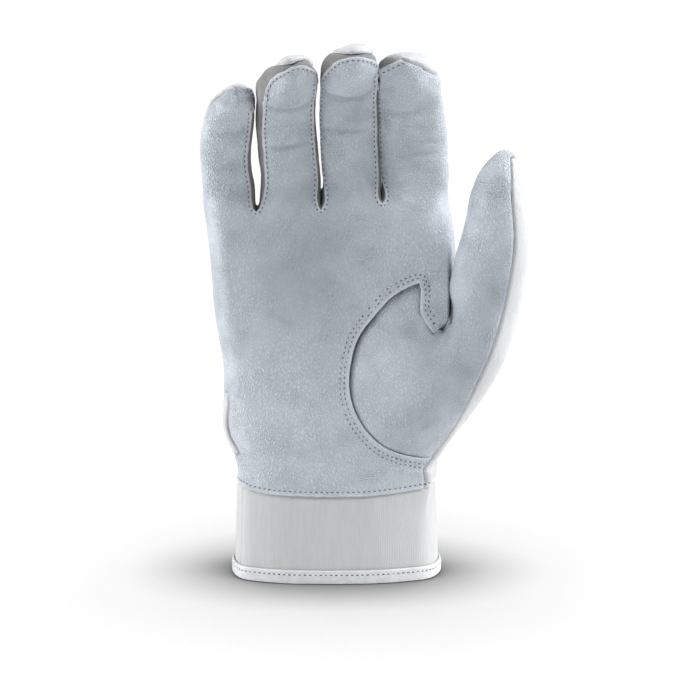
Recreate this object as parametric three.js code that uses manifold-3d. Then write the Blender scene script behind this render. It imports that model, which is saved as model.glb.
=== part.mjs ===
// A right-hand leather batting glove that stands on its cuff, palm towards -Y and fingers up.
// Its skin is one smooth subdivision surface. Each panel is a sheet of that skin, cut along its seams.
// Millimetres, +Z up. The origin lies on the floor, under the middle of the glove.
import * as THREE from "three";
import { mergeVertices } from "three/addons/utils/BufferGeometryUtils.js";
import Module from "manifold-3d";

const wasm = await Module();
wasm.setup();

// Hand: the breadth across the knuckles, which the shares of the hand's form follow, and its depth
const breadth = 100;
const palmDepth = 38;

// Cuff: heights above the floor, and the outline at the hem and at the wrist
const bindingHeight = 6;
const bandFoot = 1.4;
const leatherFoot = 38;
const bandLap = 9;
const hemWidth = 90;
const hemDepth = 54;
const wristWidth = 87;
const wristDepth = 46;

// Sheet thicknesses, and the clearances between sheets
const leather = 1;
const elastic = 1.8;
const knit = 0.7;
const tape = 0.8;
const seamGap = 0.3;
const layerGap = 0.35;
const mitreLimitShare = 0.4;
const overrun = 20;

// Wrist strap on the back, sewn down on the thumb's side, with its hook and loop patches
const strapHeight = 26;
const strapFoot = 8;
const strapThickness = 1.6;
const strapCorner = 0.35;
const patchThickness = 1.1;
const patchMargin = 3;
// Angles round the cuff in degrees, from the thumb's side: the strap climbs on to the loop patch
const anchorAngles = [27, 41];
const strapAngles = [41.6, 155];
const climbAngles = [47.6, 92];
const hookAngles = [112, 146];
const loopAngles = [96, 150];
const tongueAngle = 13;
const sectionClearAngle = 1;
const tongueRoundShares = [1, 0.7, 0.4, 0.2, 0.07, 0];
const tongueTipShare = 0.45;

// Fingers, little to index. Widths, depths, lengths and drifts are shares of the breadth,
// gapShare is the space to the next finger, and curl and roll are degrees at each ring.
const fingers = [
  {
    name: "little",
    widthShare: 0.221,
    depthShare: 0.182,
    lengthShare: 0.56,
    gapShare: 0.028,
    riseShare: 0.0,
    curl: [2, 4, 8, 13, 20, 30, 38],
    roll: [0, 0, 0, 0, 0, 0, 0],
    slantShare: 0.02,
    driftShares: [0.003, -0.006, -0.011, -0.006, 0.007, 0.02, 0.032],
    widthShares: [1, 0.99, 0.985, 1, 0.97, 0.86, 0.6],
  },
  {
    name: "ring",
    widthShare: 0.256,
    depthShare: 0.196,
    lengthShare: 0.72,
    gapShare: 0.013,
    riseShare: 0.004,
    curl: [3, 5, 13, 21, 31, 41, 47],
    roll: [3, 6, 8, 9, 11, 14, 16],
    slantShare: 0.03,
    driftShares: [0.003, -0.003, -0.011, -0.017, -0.014, -0.009, 0.002],
    widthShares: [1, 1, 0.99, 0.985, 0.97, 0.98, 0.7],
  },
  {
    name: "middle",
    widthShare: 0.25,
    depthShare: 0.2,
    lengthShare: 0.757,
    gapShare: 0.011,
    riseShare: 0.012,
    curl: [3, 5, 12, 19, 29, 39, 46],
    roll: [2, 4, 5, 6, 8, 10, 12],
    slantShare: 0.016,
    driftShares: [0.001, -0.003, -0.008, -0.011, -0.011, -0.01, -0.008],
    widthShares: [1, 1, 1, 1, 0.97, 0.95, 0.72],
  },
  {
    name: "index",
    widthShare: 0.286,
    depthShare: 0.204,
    lengthShare: 0.683,
    gapShare: 0,
    riseShare: 0.018,
    curl: [2, 4, 8, 13, 21, 30, 37],
    roll: [1, 2, 3, 4, 6, 9, 12],
    slantShare: -0.008,
    driftShares: [-0.006, -0.006, -0.009, -0.016, -0.026, -0.037, -0.054],
    widthShares: [1, 0.99, 0.98, 0.96, 0.925, 0.885, 0.7],
  },
];
// Where a finger's rings lie along it, and how far they stand before and behind its axis
const stationShares = [0.12, 0.25, 0.38, 0.52, 0.66, 0.81, 0.94];
const frontShares = [1, 1, 0.92, 1, 0.88, 0.96, 0.66];
const backShares = [1, 0.98, 1.02, 0.96, 0.94, 0.86, 0.62];
const cornerShare = 0.87;
const cornerDepthShare = 0.64;
const outerSeamShare = 0.3;
// A fingertip slants down to the little finger's side, or to the other where its share is negative,
// and the seam over it is arched in front
const slantAlongShares = [0, 0, 0, 0, 0, 0.35, 1];
const archAlongShares = [0, 0, 0, 0, 0, 0.008, 0.028];
// The row of fingers stands beside the cuff's middle
const rowLeftShare = -0.576;
const columnInShare = 0.16;

// Thumb rings from root to tip: inner and outer edge as [across, rise], the middle's depth, the depth
const thumbShares = [
  { inner: [0.492, 0.8], outer: [0.668, 0.46], mid: -0.1, depth: 0.33 },
  { inner: [0.484, 0.9], outer: [0.776, 0.745], mid: -0.13, depth: 0.3 },
  { inner: [0.518, 1.069], outer: [0.815, 0.965], mid: -0.17, depth: 0.274 },
  { inner: [0.549, 1.19], outer: [0.82, 1.135], mid: -0.205, depth: 0.25 },
  { inner: [0.569, 1.309], outer: [0.797, 1.287], mid: -0.235, depth: 0.226 },
  { inner: [0.608, 1.409], outer: [0.782, 1.396], mid: -0.26, depth: 0.186 },
  { inner: [0.659, 1.47], outer: [0.764, 1.47], mid: -0.275, depth: 0.124 },
];
const thumbTipShare = [0.711, -0.285, 1.508];
const thumbCapShare = 0.62;
const thumbAngles = [58, 25, -8, -40, -72, -99, -126, -157, 172, 146, 116, 87];

// Levels of the hand above the leather's foot: rise, left and right edge, depth of the palm's
const handShares = [
  { rise: 0.1, left: -0.432, right: 0.442, depth: 1.19 },
  { rise: 0.19, left: -0.463, right: 0.485, depth: 1.15 },
  { rise: 0.3, left: -0.494, right: 0.55, depth: 1.11 },
  { rise: 0.51, left: -0.49, right: 0.54, depth: 1.03 },
  { rise: 0.74, left: -0.525, right: 0.505, depth: 0.97 },
  { rise: 1.0, left: -0.546, right: 0.516, depth: 0.88 },
];
// The foot of the leather lies lower in the middle of the palm than at the sides
const footRiseShares = [0.022, 0.008, 0, -0.003, -0.004, -0.003, 0.002, 0.014, 0.024, 0.028];
// Rises of the fingers' roots, and of the crotches between them on the palm's and the back's side
const crotchRiseShare = 1.235;
const crotchShares = [
  { front: 1.213, middle: 1.205, back: 1.214 },
  { front: 1.222, middle: 1.25, back: 1.285 },
  { front: 1.25, middle: 1.27, back: 1.29 },
];
const knuckleDepthShare = 0.7;

// How far the nine columns stand before and behind the middle, as shares of half a level's depth
const cuffDepthShares = [0.56, 0.78, 0.93, 0.99, 1, 0.99, 0.93, 0.78, 0.56];
const palmDepthShares = [
  [0.56, 0.78, 0.94, 0.99, 1, 1, 0.97, 0.82, 0.56],
  [0.58, 0.84, 1.02, 1.04, 1.02, 1.04, 1.06, 0.9, 0.5],
  [0.5, 0.86, 1.08, 1.1, 1.06, 1.14, 1.24, 1.14, 0.6],
  [0.6, 0.9, 1.06, 1.02, 0.98, 1.14, 1.34, 1.32, 0.8],
  [0.62, 0.88, 1, 0.95, 0.88, 0.9, 1.0, 0.96, 0.6],
  [0.66, 0.88, 0.98, 1.02, 0.98, 1.02, 0.99, 0.95, 0.66],
  [0.66, 1, 0.86, 1.04, 0.88, 1.04, 0.88, 1, 0.66],
];
const backDepthShares = [
  [0.56, 0.76, 0.93, 0.99, 1, 0.99, 0.93, 0.76, 0.56],
  [0.52, 0.76, 0.93, 0.99, 1, 0.99, 0.93, 0.76, 0.56],
  [0.42, 0.72, 0.92, 0.99, 1, 0.99, 0.93, 0.8, 0.62],
  [0.5, 0.76, 0.94, 1, 1.02, 1.01, 0.96, 0.85, 0.7],
  [0.54, 0.78, 0.94, 1, 1.02, 1.01, 0.96, 0.82, 0.6],
  [0.58, 0.86, 0.95, 1.04, 1, 1.06, 0.98, 0.94, 0.6],
  [0.66, 1, 0.84, 1.04, 0.86, 1.04, 0.86, 1, 0.66],
];
// How far before the middle the side seam runs, on the little finger's side and on the thumb's
const littleSeamShares = [0, 0, 0.1, 0.2, 0.28, 0.22, 0, -0.12, -0.2, -0.3];
const thumbSeamShares = [0, 0, 0, 0, 0, 0, 0, -0.1, -0.2, -0.3];

// Where the thumb leaves the hand: level, column and the point as shares of the breadth
const thumbRootShares = [
  [2, 7, 0.384, -0.152, 0.018],
  [2, 8, 0.412, -0.095, 0.025],
  [3, 7, 0.38, -0.172, 0.095],
  [3, 8, 0.415, -0.1, 0.095],
  [4, 7, 0.44, -0.14, 0.185],
  [4, 8, 0.465, -0.06, 0.17],
  [4, 9, 0.47, 0.03, 0.165],
  [4, 10, 0.44, 0.12, 0.17],
  [5, 7, 0.43, -0.22, 0.31],
  [5, 10, 0.49, 0.13, 0.3],
  [6, 7, 0.42, -0.26, 0.5],
  [6, 10, 0.52, 0.12, 0.5],
  [7, 7, 0.419, -0.165, 0.7],
  [7, 8, 0.452, -0.08, 0.72],
  [7, 9, 0.495, 0.01, 0.78],
  [7, 10, 0.5, 0.09, 0.8],
];

// Edge of the palm leather round the thumb's panel, as [across, rise] shares of the breadth:
// the tongue that hangs in the crotch of the thumb, from its tip up, and the arc below it
const tongueShares = [
  [0.419, 0.703],
  [0.398, 0.721],
  [0.372, 0.76],
  [0.347, 0.803],
  [0.345, 0.85],
  [0.352, 0.912],
];
const arcShares = [
  [0.35, 0.916],
  [0.248, 0.86],
  [0.162, 0.764],
  [0.098, 0.67],
  [0.068, 0.558],
  [0.063, 0.464],
  [0.08, 0.381],
  [0.123, 0.301],
  [0.192, 0.231],
  [0.273, 0.186],
  [0.38, 0.152],
];
// Both outlines close on the thumb's side, where the palm's leather ends and the thumb's panel goes on
const palmSideShares = [
  [0.6, 0.152],
  [0.6, 0.64],
  [0.45, 0.64],
];
const thumbSideShares = [
  [0.9, 0.152],
  [0.9, 1.02],
  [0.44, 1.02],
];
const tongueSteps = 8;
const arcSteps = 24;

// Where the cuff's rings lie between its foot and the leather's
const cuffRiseShares = [0, 0.5, 1];
// Rounds in which the cage is fitted to its own points, and how close points are when they are one
const fitRounds = 25;
const weldReach = 1e-4;

const radians = THREE.MathUtils.degToRad;
const half = (size) => size / 2;
const { lerp } = THREE.MathUtils;
const place = (across, deep, rise) => [breadth * across, breadth * deep, leatherFoot + breadth * rise];

// The cage: points and four-cornered faces, each face tagged with its panel and level
class Cage {
  points = [];
  faces = [];
  point(x, y, z) {
    return this.points.push(new THREE.Vector3(x, y, z)) - 1;
  }
  quad(corners, tag) {
    this.faces.push({ corners, tag });
  }
}

const cage = new Cage();
const frontCount = 9;
const columnCount = 2 * (frontCount + 1);
const cuffLevelCount = cuffRiseShares.length;
const holeLevelCount = 3;
const flareLevel = cuffLevelCount + 1;
const webLevel = flareLevel + holeLevelCount;
const topLevel = cuffLevelCount + handShares.length;

const rowLeft = breadth * rowLeftShare;
let reached = rowLeft;
for (const f of fingers) {
  f.width = breadth * f.widthShare;
  f.depth = breadth * f.depthShare;
  f.length = breadth * f.lengthShare;
  f.gap = breadth * f.gapShare;
  f.left = reached;
  f.middle = reached + half(f.width);
  f.right = reached + f.width;
  f.root = leatherFoot + breadth * (crotchRiseShare + f.riseShare);
  reached = f.right + f.gap;
}
const rowWidth = reached - rowLeft;
const crotchAcross = crotchShares.map((_, i) => half(fingers[i].right + fingers[i + 1].left));

// Where the nine columns stand across the hand, as shares of its width
const columnShares = [
  fingers[0].left + columnInShare * fingers[0].width,
  fingers[0].middle,
  crotchAcross[0],
  fingers[1].middle,
  crotchAcross[1],
  fingers[2].middle,
  crotchAcross[2],
  fingers[3].middle,
  fingers[3].right - columnInShare * fingers[3].width,
].map((x) => (x - rowLeft) / rowWidth);

// One ring of the hand: nine columns in front, the thumb side, nine columns behind, the little side
function handRing({ z, left, right, depth, front, back, littleSeam, thumbSeam }) {
  const across = (j) => lerp(left, right, columnShares[j]);
  const deep = half(depth);
  const ring = front.map((share, j) => [across(j), -deep * share, z]);
  ring.push([right, -deep * thumbSeam, z]);
  for (let j = frontCount - 1; j >= 0; j--) ring.push([across(j), deep * back[j], z]);
  ring.push([left, -deep * littleSeam, z]);
  return ring;
}

const cuffRing = (share, k) => {
  const width = lerp(hemWidth, wristWidth, share);
  return {
    z: lerp(bandFoot, leatherFoot, share),
    left: -half(width),
    right: half(width),
    depth: lerp(hemDepth, wristDepth, share),
    front: cuffDepthShares,
    back: cuffDepthShares,
    littleSeam: littleSeamShares[k],
    thumbSeam: thumbSeamShares[k],
  };
};
const levels = cuffRiseShares.map(cuffRing);
handShares.forEach((level, i) =>
  levels.push({
    z: leatherFoot + breadth * level.rise,
    left: breadth * level.left,
    right: breadth * level.right,
    depth: palmDepth * level.depth,
    front: palmDepthShares[i],
    back: backDepthShares[i],
    littleSeam: littleSeamShares[i + cuffLevelCount],
    thumbSeam: thumbSeamShares[i + cuffLevelCount],
  }),
);
levels.push({
  z: leatherFoot + breadth * crotchRiseShare,
  left: rowLeft,
  right: rowLeft + rowWidth,
  depth: palmDepth * knuckleDepthShare,
  front: palmDepthShares.at(-1),
  back: backDepthShares.at(-1),
  littleSeam: littleSeamShares.at(-1),
  thumbSeam: thumbSeamShares.at(-1),
});
const rings = levels.map(handRing);
rings[cuffLevelCount - 1].forEach((p, j) => {
  p[2] += breadth * (footRiseShares[j] ?? footRiseShares.at(-1));
});
for (const [level, column, ...shares] of thumbRootShares) rings[level][column] = place(...shares);
crotchShares.forEach(({ front, back }, i) => {
  rings[topLevel][2 * i + 2][2] = leatherFoot + breadth * front;
  rings[topLevel][2 * frontCount - 2 * i - 2][2] = leatherFoot + breadth * back;
});

const handPoints = rings.map((ring) => ring.map((p) => cage.point(...p)));
for (let k = 0; k < topLevel; k++) {
  for (let j = 0; j < columnCount; j++) {
    const inHole = k >= flareLevel && k < webLevel && j >= frontCount - 2 && j <= frontCount;
    if (inHole) continue;
    const lowThumbSide = k < flareLevel && j >= frontCount - 2 && j < frontCount;
    let panel = (j >= frontCount && j < columnCount - 1) || lowThumbSide ? "back" : "palm";
    if (k === webLevel && j > frontCount + 1 && j < columnCount - 3) panel = "knuckle_flex";
    const next = (j + 1) % columnCount;
    const corners = [handPoints[k][j], handPoints[k][next], handPoints[k + 1][next], handPoints[k + 1][j]];
    cage.quad(corners, { panel, level: k, column: j });
  }
}

const crotchPoints = crotchAcross.map((x, i) =>
  cage.point(x, 0, leatherFoot + breadth * crotchShares[i].middle),
);

// The eight faces round a finger, from its front edge round by the index finger's side.
// Palm leather also wraps the outer sides of the first and the last finger, up to the back's seam.
const aroundFinger = ["front", "front", "right", "right", "back", "back", "left", "left"];
function fingerPanel(i, face, isRoot) {
  const around = aroundFinger[face];
  const isOuter = (i === 0 && around === "left") || (i === fingers.length - 1 && around === "right");
  const side = isOuter ? (face === 2 || face === 7 ? "front" : "back") : around;
  if (!isRoot) return fingers[i].name + "_" + side;
  if (side === "front") return "palm";
  if (side === "back") return "back";
  return "fourchette_" + (side === "left" ? i - 1 : i);
}

fingers.forEach((f, i) => {
  const top = handPoints[topLevel];
  const inFront = 2 * i;
  const behind = 2 * (frontCount - i);
  let below = [
    top[inFront],
    top[inFront + 1],
    top[inFront + 2],
    i < crotchPoints.length ? crotchPoints[i] : top[frontCount],
    top[behind - 2],
    top[behind - 1],
    top[behind],
    i > 0 ? crotchPoints[i - 1] : top[columnCount - 1],
  ];
  let y = 0;
  let z = f.root;
  let along = 0;
  let lean = 0;
  stationShares.forEach((share, s) => {
    const step = (share - along) * f.length;
    const tilt = radians(half(lean + f.curl[s]));
    y -= step * Math.sin(tilt);
    z += step * Math.cos(tilt);
    along = share;
    lean = f.curl[s];
    const curl = radians(lean);
    const roll = radians(f.roll[s]);
    const forward = new THREE.Vector3(0, -Math.cos(curl), -Math.sin(curl));
    const sideways = new THREE.Vector3(1, 0, 0);
    const u = sideways.clone().multiplyScalar(Math.cos(roll)).addScaledVector(forward, -Math.sin(roll));
    const v = forward.clone().multiplyScalar(Math.cos(roll)).addScaledVector(sideways, Math.sin(roll));
    const upwards = new THREE.Vector3().crossVectors(u, forward).negate();
    const centre = new THREE.Vector3(f.middle + breadth * f.driftShares[s], y, z);
    const ringPoint = (p, q) => {
      const deep = half(f.depth) * (q > 0 ? frontShares[s] : backShares[s]);
      const slant = breadth * slantAlongShares[s] * (f.slantShare * p - Math.abs(f.slantShare));
      const arch = q === 1 ? breadth * archAlongShares[s] : 0;
      const point = centre.clone();
      point.addScaledVector(u, p * half(f.width) * f.widthShares[s]);
      point.addScaledVector(v, q * deep);
      point.addScaledVector(upwards, slant + arch);
      return cage.point(...point);
    };
    const [c, d] = [cornerShare, cornerDepthShare];
    const leftSeam = f === fingers[0] ? -outerSeamShare : 0;
    const rightSeam = f === fingers.at(-1) ? -outerSeamShare : 0;
    const ring = [
      ringPoint(-c, d),
      ringPoint(0, 1),
      ringPoint(c, d),
      ringPoint(1, rightSeam),
      ringPoint(c, -d),
      ringPoint(0, -1),
      ringPoint(-c, -d),
      ringPoint(-1, leftSeam),
    ];
    ring.forEach((point, j) => {
      const n = (j + 1) % ring.length;
      const panel = fingerPanel(i, j, s === 0);
      cage.quad([below[j], below[n], ring[n], ring[j]], { panel, level: topLevel + s, finger: i });
    });
    below = ring;
  });
  const step = (1 - along) * f.length;
  const tilt = radians(lean);
  const x = f.middle + breadth * f.driftShares.at(-1);
  const tip = cage.point(x, y - step * Math.sin(tilt), z + step * Math.cos(tilt));
  const capFront = f.name + (i === 0 ? "_front" : "_left");
  const capLevel = topLevel + stationShares.length;
  const cap = (corners, panel) => cage.quad(corners, { panel, level: capLevel, finger: i });
  cap([below[0], below[1], tip, below[7]], capFront);
  cap([below[1], below[2], below[3], tip], capFront);
  cap([tip, below[3], below[4], below[5]], f.name + "_back");
  cap([below[7], tip, below[5], below[6]], f.name + "_back");
});

// The thumb leaves the hole in its side as a tube of twelve faces round
function buildThumb() {
  const at = (k, j) => handPoints[k][j];
  const [low, high] = [flareLevel, webLevel];
  let below = [at(low, 7), at(low, 8), at(low, 9), at(low, 10), at(low + 1, 10), at(low + 2, 10)];
  below.push(at(high, 10), at(high, 9), at(high, 8), at(high, 7), at(low + 2, 7), at(low + 1, 7));
  thumbShares.forEach((share, s) => {
    const inner = new THREE.Vector3(...place(share.inner[0], share.mid, share.inner[1]));
    const outer = new THREE.Vector3(...place(share.outer[0], share.mid, share.outer[1]));
    const centre = inner.clone().lerp(outer, 0.5);
    const across = outer.clone().sub(centre);
    const forward = new THREE.Vector3(0, -half(breadth * share.depth), 0);
    const ring = thumbAngles.map((angle) => {
      const point = centre.clone();
      point.addScaledVector(across, Math.cos(radians(angle)));
      point.addScaledVector(forward, Math.sin(radians(angle)));
      return cage.point(...point);
    });
    ring.forEach((point, j) => {
      const n = (j + 1) % ring.length;
      const isBack = j < half(ring.length);
      let panel = isBack ? "thumb_back" : "thumb_front";
      if (s < 2) panel = isBack ? "back" : "thumb_panel";
      cage.quad([below[j], below[n], ring[n], point], { panel, level: flareLevel + s });
    });
    below = ring;
  });
  const tip = new THREE.Vector3(...place(...thumbTipShare));
  const inward = (i, j) => {
    const near = cage.points[below[i]].clone().lerp(cage.points[below[j]], 0.5);
    return cage.point(...near.lerp(tip, thumbCapShare));
  };
  const grid = [
    [below[0], below[11], below[10], below[9]],
    [below[1], inward(0, 1), inward(9, 8), below[8]],
    [below[2], inward(3, 2), inward(6, 7), below[7]],
    [below[3], below[4], below[5], below[6]],
  ];
  for (let u = 0; u < 3; u++)
    for (let v = 0; v < 3; v++) {
      const corners = [grid[u][v], grid[u + 1][v], grid[u + 1][v + 1], grid[u][v + 1]];
      cage.quad(corners, { panel: "thumb_front", level: topLevel });
    }
}
buildThumb();

// Smooth surface by Catmull and Clark's rules
const edgeKey = (a, b) => (a < b ? a + "_" + b : b + "_" + a);
function edgesOf(mesh) {
  const edges = new Map();
  mesh.faces.forEach(({ corners }, f) =>
    corners.forEach((a, i) => {
      const b = corners[(i + 1) % 4];
      const key = edgeKey(a, b);
      if (!edges.has(key)) edges.set(key, { a, b, faces: [] });
      edges.get(key).faces.push(f);
    }),
  );
  return edges;
}

// Where the smooth surface passes for each point of a mesh
function limitPoints(mesh, edges) {
  const sums = () => mesh.points.map(() => new THREE.Vector3());
  const counts = () => mesh.points.map(() => 0);
  const [near, far, rim] = [sums(), sums(), sums()];
  const [valence, rims] = [counts(), counts()];
  for (const { a, b, faces } of edges.values())
    for (const [p, q] of [
      [a, b],
      [b, a],
    ]) {
      near[p].add(mesh.points[q]);
      valence[p]++;
      if (faces.length > 1) continue;
      rim[p].add(mesh.points[q]);
      rims[p]++;
    }
  for (const { corners } of mesh.faces)
    corners.forEach((c, i) => far[c].add(mesh.points[corners[(i + 2) % 4]]));
  return mesh.points.map((p, i) => {
    if (rims[i]) return p.clone().multiplyScalar(4).add(rim[i]).divideScalar(6);
    const v = valence[i];
    const sum = p.clone().multiplyScalar(v * v);
    return sum.addScaledVector(near[i], 4).add(far[i]).divideScalar(v * (v + 5));
  });
}

// Moves the cage until the smooth surface passes through the points that it had
function fitCage(mesh) {
  const targets = mesh.points.map((p) => p.clone());
  const edges = edgesOf(mesh);
  for (let round = 0; round < fitRounds; round++) {
    const limit = limitPoints(mesh, edges);
    mesh.points.forEach((p, i) => p.add(targets[i]).sub(limit[i]));
  }
}

function subdivide(mesh) {
  const edges = edgesOf(mesh);
  const fine = new Cage();
  const sums = () => mesh.points.map(() => new THREE.Vector3());
  const [faceSum, edgeSum, rimSum] = [sums(), sums(), sums()];
  const [valence, rims] = [mesh.points.map(() => 0), mesh.points.map(() => 0)];
  const facePoints = mesh.faces.map(({ corners }) => {
    const sum = new THREE.Vector3();
    corners.forEach((i) => sum.add(mesh.points[i]));
    sum.divideScalar(4);
    corners.forEach((i) => faceSum[i].add(sum));
    return sum;
  });
  const edgePoints = new Map();
  for (const [key, { a, b, faces }] of edges) {
    const middle = mesh.points[a].clone().lerp(mesh.points[b], 0.5);
    for (const i of [a, b]) {
      edgeSum[i].add(middle);
      valence[i]++;
      if (faces.length > 1) continue;
      rimSum[i].add(middle);
      rims[i]++;
    }
    const point = middle.clone();
    if (faces.length > 1) {
      const across = facePoints[faces[0]].clone().lerp(facePoints[faces[1]], 0.5);
      point.lerp(across, 0.5);
    }
    edgePoints.set(key, point);
  }
  mesh.points.forEach((p, i) => {
    const v = valence[i];
    const moved = p.clone();
    if (rims[i]) moved.multiplyScalar(2).add(rimSum[i]).divideScalar(4);
    else {
      moved.multiplyScalar(v - 3).addScaledVector(edgeSum[i], 2 / v);
      moved.addScaledVector(faceSum[i], 1 / v).divideScalar(v);
    }
    fine.point(...moved);
  });
  const faceIndex = facePoints.map((p) => fine.point(...p));
  const edgeIndex = new Map();
  for (const [key, p] of edgePoints) edgeIndex.set(key, fine.point(...p));
  mesh.faces.forEach(({ corners, tag }, f) =>
    corners.forEach((c, i) => {
      const after = edgeIndex.get(edgeKey(c, corners[(i + 1) % 4]));
      const before = edgeIndex.get(edgeKey(corners[(i + 3) % 4], c));
      fine.quad([c, after, faceIndex[f], before], tag);
    }),
  );
  return fine;
}

fitCage(cage);
const skin = subdivide(cage);
const skinEdges = edgesOf(skin);
skin.points = limitPoints(skin, skinEdges);

const normals = skin.points.map(() => new THREE.Vector3());
for (const { corners } of skin.faces) {
  const [a, b, c, d] = corners.map((i) => skin.points[i]);
  const normal = c.clone().sub(a).cross(d.clone().sub(b));
  corners.forEach((i) => normals[i].add(normal));
}
normals.forEach((n) => n.normalize());

// A closed sheet of some faces of the skin, its outer side sunk below the skin's.
// Its free edges are drawn in by half a seam's gap.
function sheetGeometry(faces, sink, thickness) {
  const chosen = new Set(faces);
  const rim = [];
  const draw = new Map();
  for (const { a, b, faces: sides } of skinEdges.values()) {
    const mine = sides.map((i) => skin.faces[i]).filter((face) => chosen.has(face));
    if (mine.length !== 1) continue;
    const { corners } = mine[0];
    const ends = corners[(corners.indexOf(a) + 1) % 4] === b ? [a, b] : [b, a];
    rim.push(ends);
    const along = skin.points[ends[1]].clone().sub(skin.points[ends[0]]);
    for (const i of ends) {
      if (!draw.has(i)) draw.set(i, []);
      draw.get(i).push(normals[i].clone().cross(along).normalize());
    }
  }
  const index = new Map();
  const positions = [];
  for (const { corners } of faces)
    for (const i of corners) {
      if (index.has(i)) continue;
      const p = skin.points[i].clone();
      const sunk = sink(p);
      const pulls = draw.get(i) ?? [];
      if (pulls.length) {
        const mitre = new THREE.Vector3();
        pulls.forEach((pull) => mitre.add(pull));
        mitre.normalize();
        p.addScaledVector(mitre, half(seamGap) / Math.max(mitre.dot(pulls[0]), mitreLimitShare));
      }
      index.set(i, half(positions.length / 3));
      positions.push(...p.clone().addScaledVector(normals[i], -sunk));
      positions.push(...p.clone().addScaledVector(normals[i], -sunk - thickness));
    }
  const triangles = [];
  const outer = (i) => 2 * index.get(i);
  const inner = (i) => 2 * index.get(i) + 1;
  const patch = (a, b, c, d) => triangles.push(a, b, c, a, c, d);
  for (const { corners } of faces) {
    patch(...corners.map(outer));
    patch(...corners.map(inner).reverse());
  }
  for (const [a, b] of rim) patch(outer(b), outer(a), inner(a), inner(b));
  const geometry = new THREE.BufferGeometry();
  geometry.setAttribute("position", new THREE.Float32BufferAttribute(positions, 3));
  geometry.setIndex(triangles);
  return geometry;
}

// A closed solid through rows of points. The rows are sections, and a loop joins the last to the first.
function loftGeometry(rows, isLoop) {
  const around = rows[0].length;
  const at = (i, j) => (i % rows.length) * around + (j % around);
  const triangles = [];
  const last = isLoop ? rows.length : rows.length - 1;
  for (let i = 0; i < last; i++)
    for (let j = 0; j < around; j++) {
      triangles.push(at(i, j), at(i, j + 1), at(i + 1, j + 1));
      triangles.push(at(i, j), at(i + 1, j + 1), at(i + 1, j));
    }
  for (let j = 1; !isLoop && j < around - 1; j++) {
    triangles.push(at(0, 0), at(0, j + 1), at(0, j));
    triangles.push(at(last, 0), at(last, j), at(last, j + 1));
  }
  const geometry = new THREE.BufferGeometry();
  const positions = rows.flat().flatMap((p) => [...p]);
  geometry.setAttribute("position", new THREE.Float32BufferAttribute(positions, 3));
  geometry.setIndex(triangles);
  return geometry;
}

// A point over the cuff's skin: seen from its axis at an angle, at a height, and off the surface
const cuffSkin = skin.faces.filter(({ tag }) => tag.level < cuffLevelCount);
function overCuff(angle, z, offset) {
  const direction = new THREE.Vector3(Math.cos(radians(angle)), Math.sin(radians(angle)), 0);
  const ray = new THREE.Ray(new THREE.Vector3(0, 0, z), direction);
  for (const { corners } of cuffSkin)
    for (const ids of [
      [corners[0], corners[1], corners[2]],
      [corners[0], corners[2], corners[3]],
    ]) {
      const [a, b, c] = ids.map((i) => skin.points[i]);
      const hit = ray.intersectTriangle(a, b, c, false, new THREE.Vector3());
      if (!hit) continue;
      const weights = THREE.Triangle.getBarycoord(hit, a, b, c, new THREE.Vector3());
      const normal = new THREE.Vector3();
      ids.forEach((i, n) => normal.addScaledVector(normals[i], weights.getComponent(n)));
      normal.z = 0;
      return hit.addScaledVector(normal.normalize(), offset);
    }
  throw new Error("no cuff at " + angle + " degrees, " + z + " mm");
}

const bandSink = 0.2;
const bandOver = -bandSink + layerGap;
const footGap = bandFoot - layerGap;

// The foot of the cuff's skin as a ring of its points by angle, each with the next point above it
const angleOf = (p) => (THREE.MathUtils.radToDeg(Math.atan2(p.y, p.x)) + 360) % 360;
const onRim = new Set();
for (const { a, b, faces } of skinEdges.values()) if (faces.length === 1) onRim.add(a).add(b);
const footRing = [];
for (const { a, b } of skinEdges.values()) {
  if (onRim.has(a) === onRim.has(b)) continue;
  const [foot, above] = onRim.has(a) ? [a, b] : [b, a];
  footRing.push({ foot, above, angle: angleOf(skin.points[foot]) });
}
footRing.sort((p, q) => p.angle - q.angle);

// The hem's tape is folded up over both sides of the band's foot
function hemGeometry() {
  const inside = -bandSink - elastic - layerGap;
  const fold = half(tape);
  const section = [
    [bandOver + tape - fold, 0],
    [inside - tape + fold, 0],
    [inside - tape, fold],
    [inside - tape, bindingHeight],
    [inside, bindingHeight],
    [inside, footGap],
    [bandOver, footGap],
    [bandOver, bindingHeight],
    [bandOver + tape, bindingHeight],
    [bandOver + tape, fold],
  ];
  const off = (i, offset) => skin.points[i].clone().addScaledVector(normals[i], offset);
  const rows = footRing.map(({ foot, above }) =>
    section.map(([offset, z]) => {
      const share = (Math.max(z, bandFoot) - bandFoot) / (skin.points[above].z - bandFoot);
      return off(foot, offset).lerp(off(above, offset), share).setZ(z);
    }),
  );
  return loftGeometry(rows, true);
}

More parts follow.
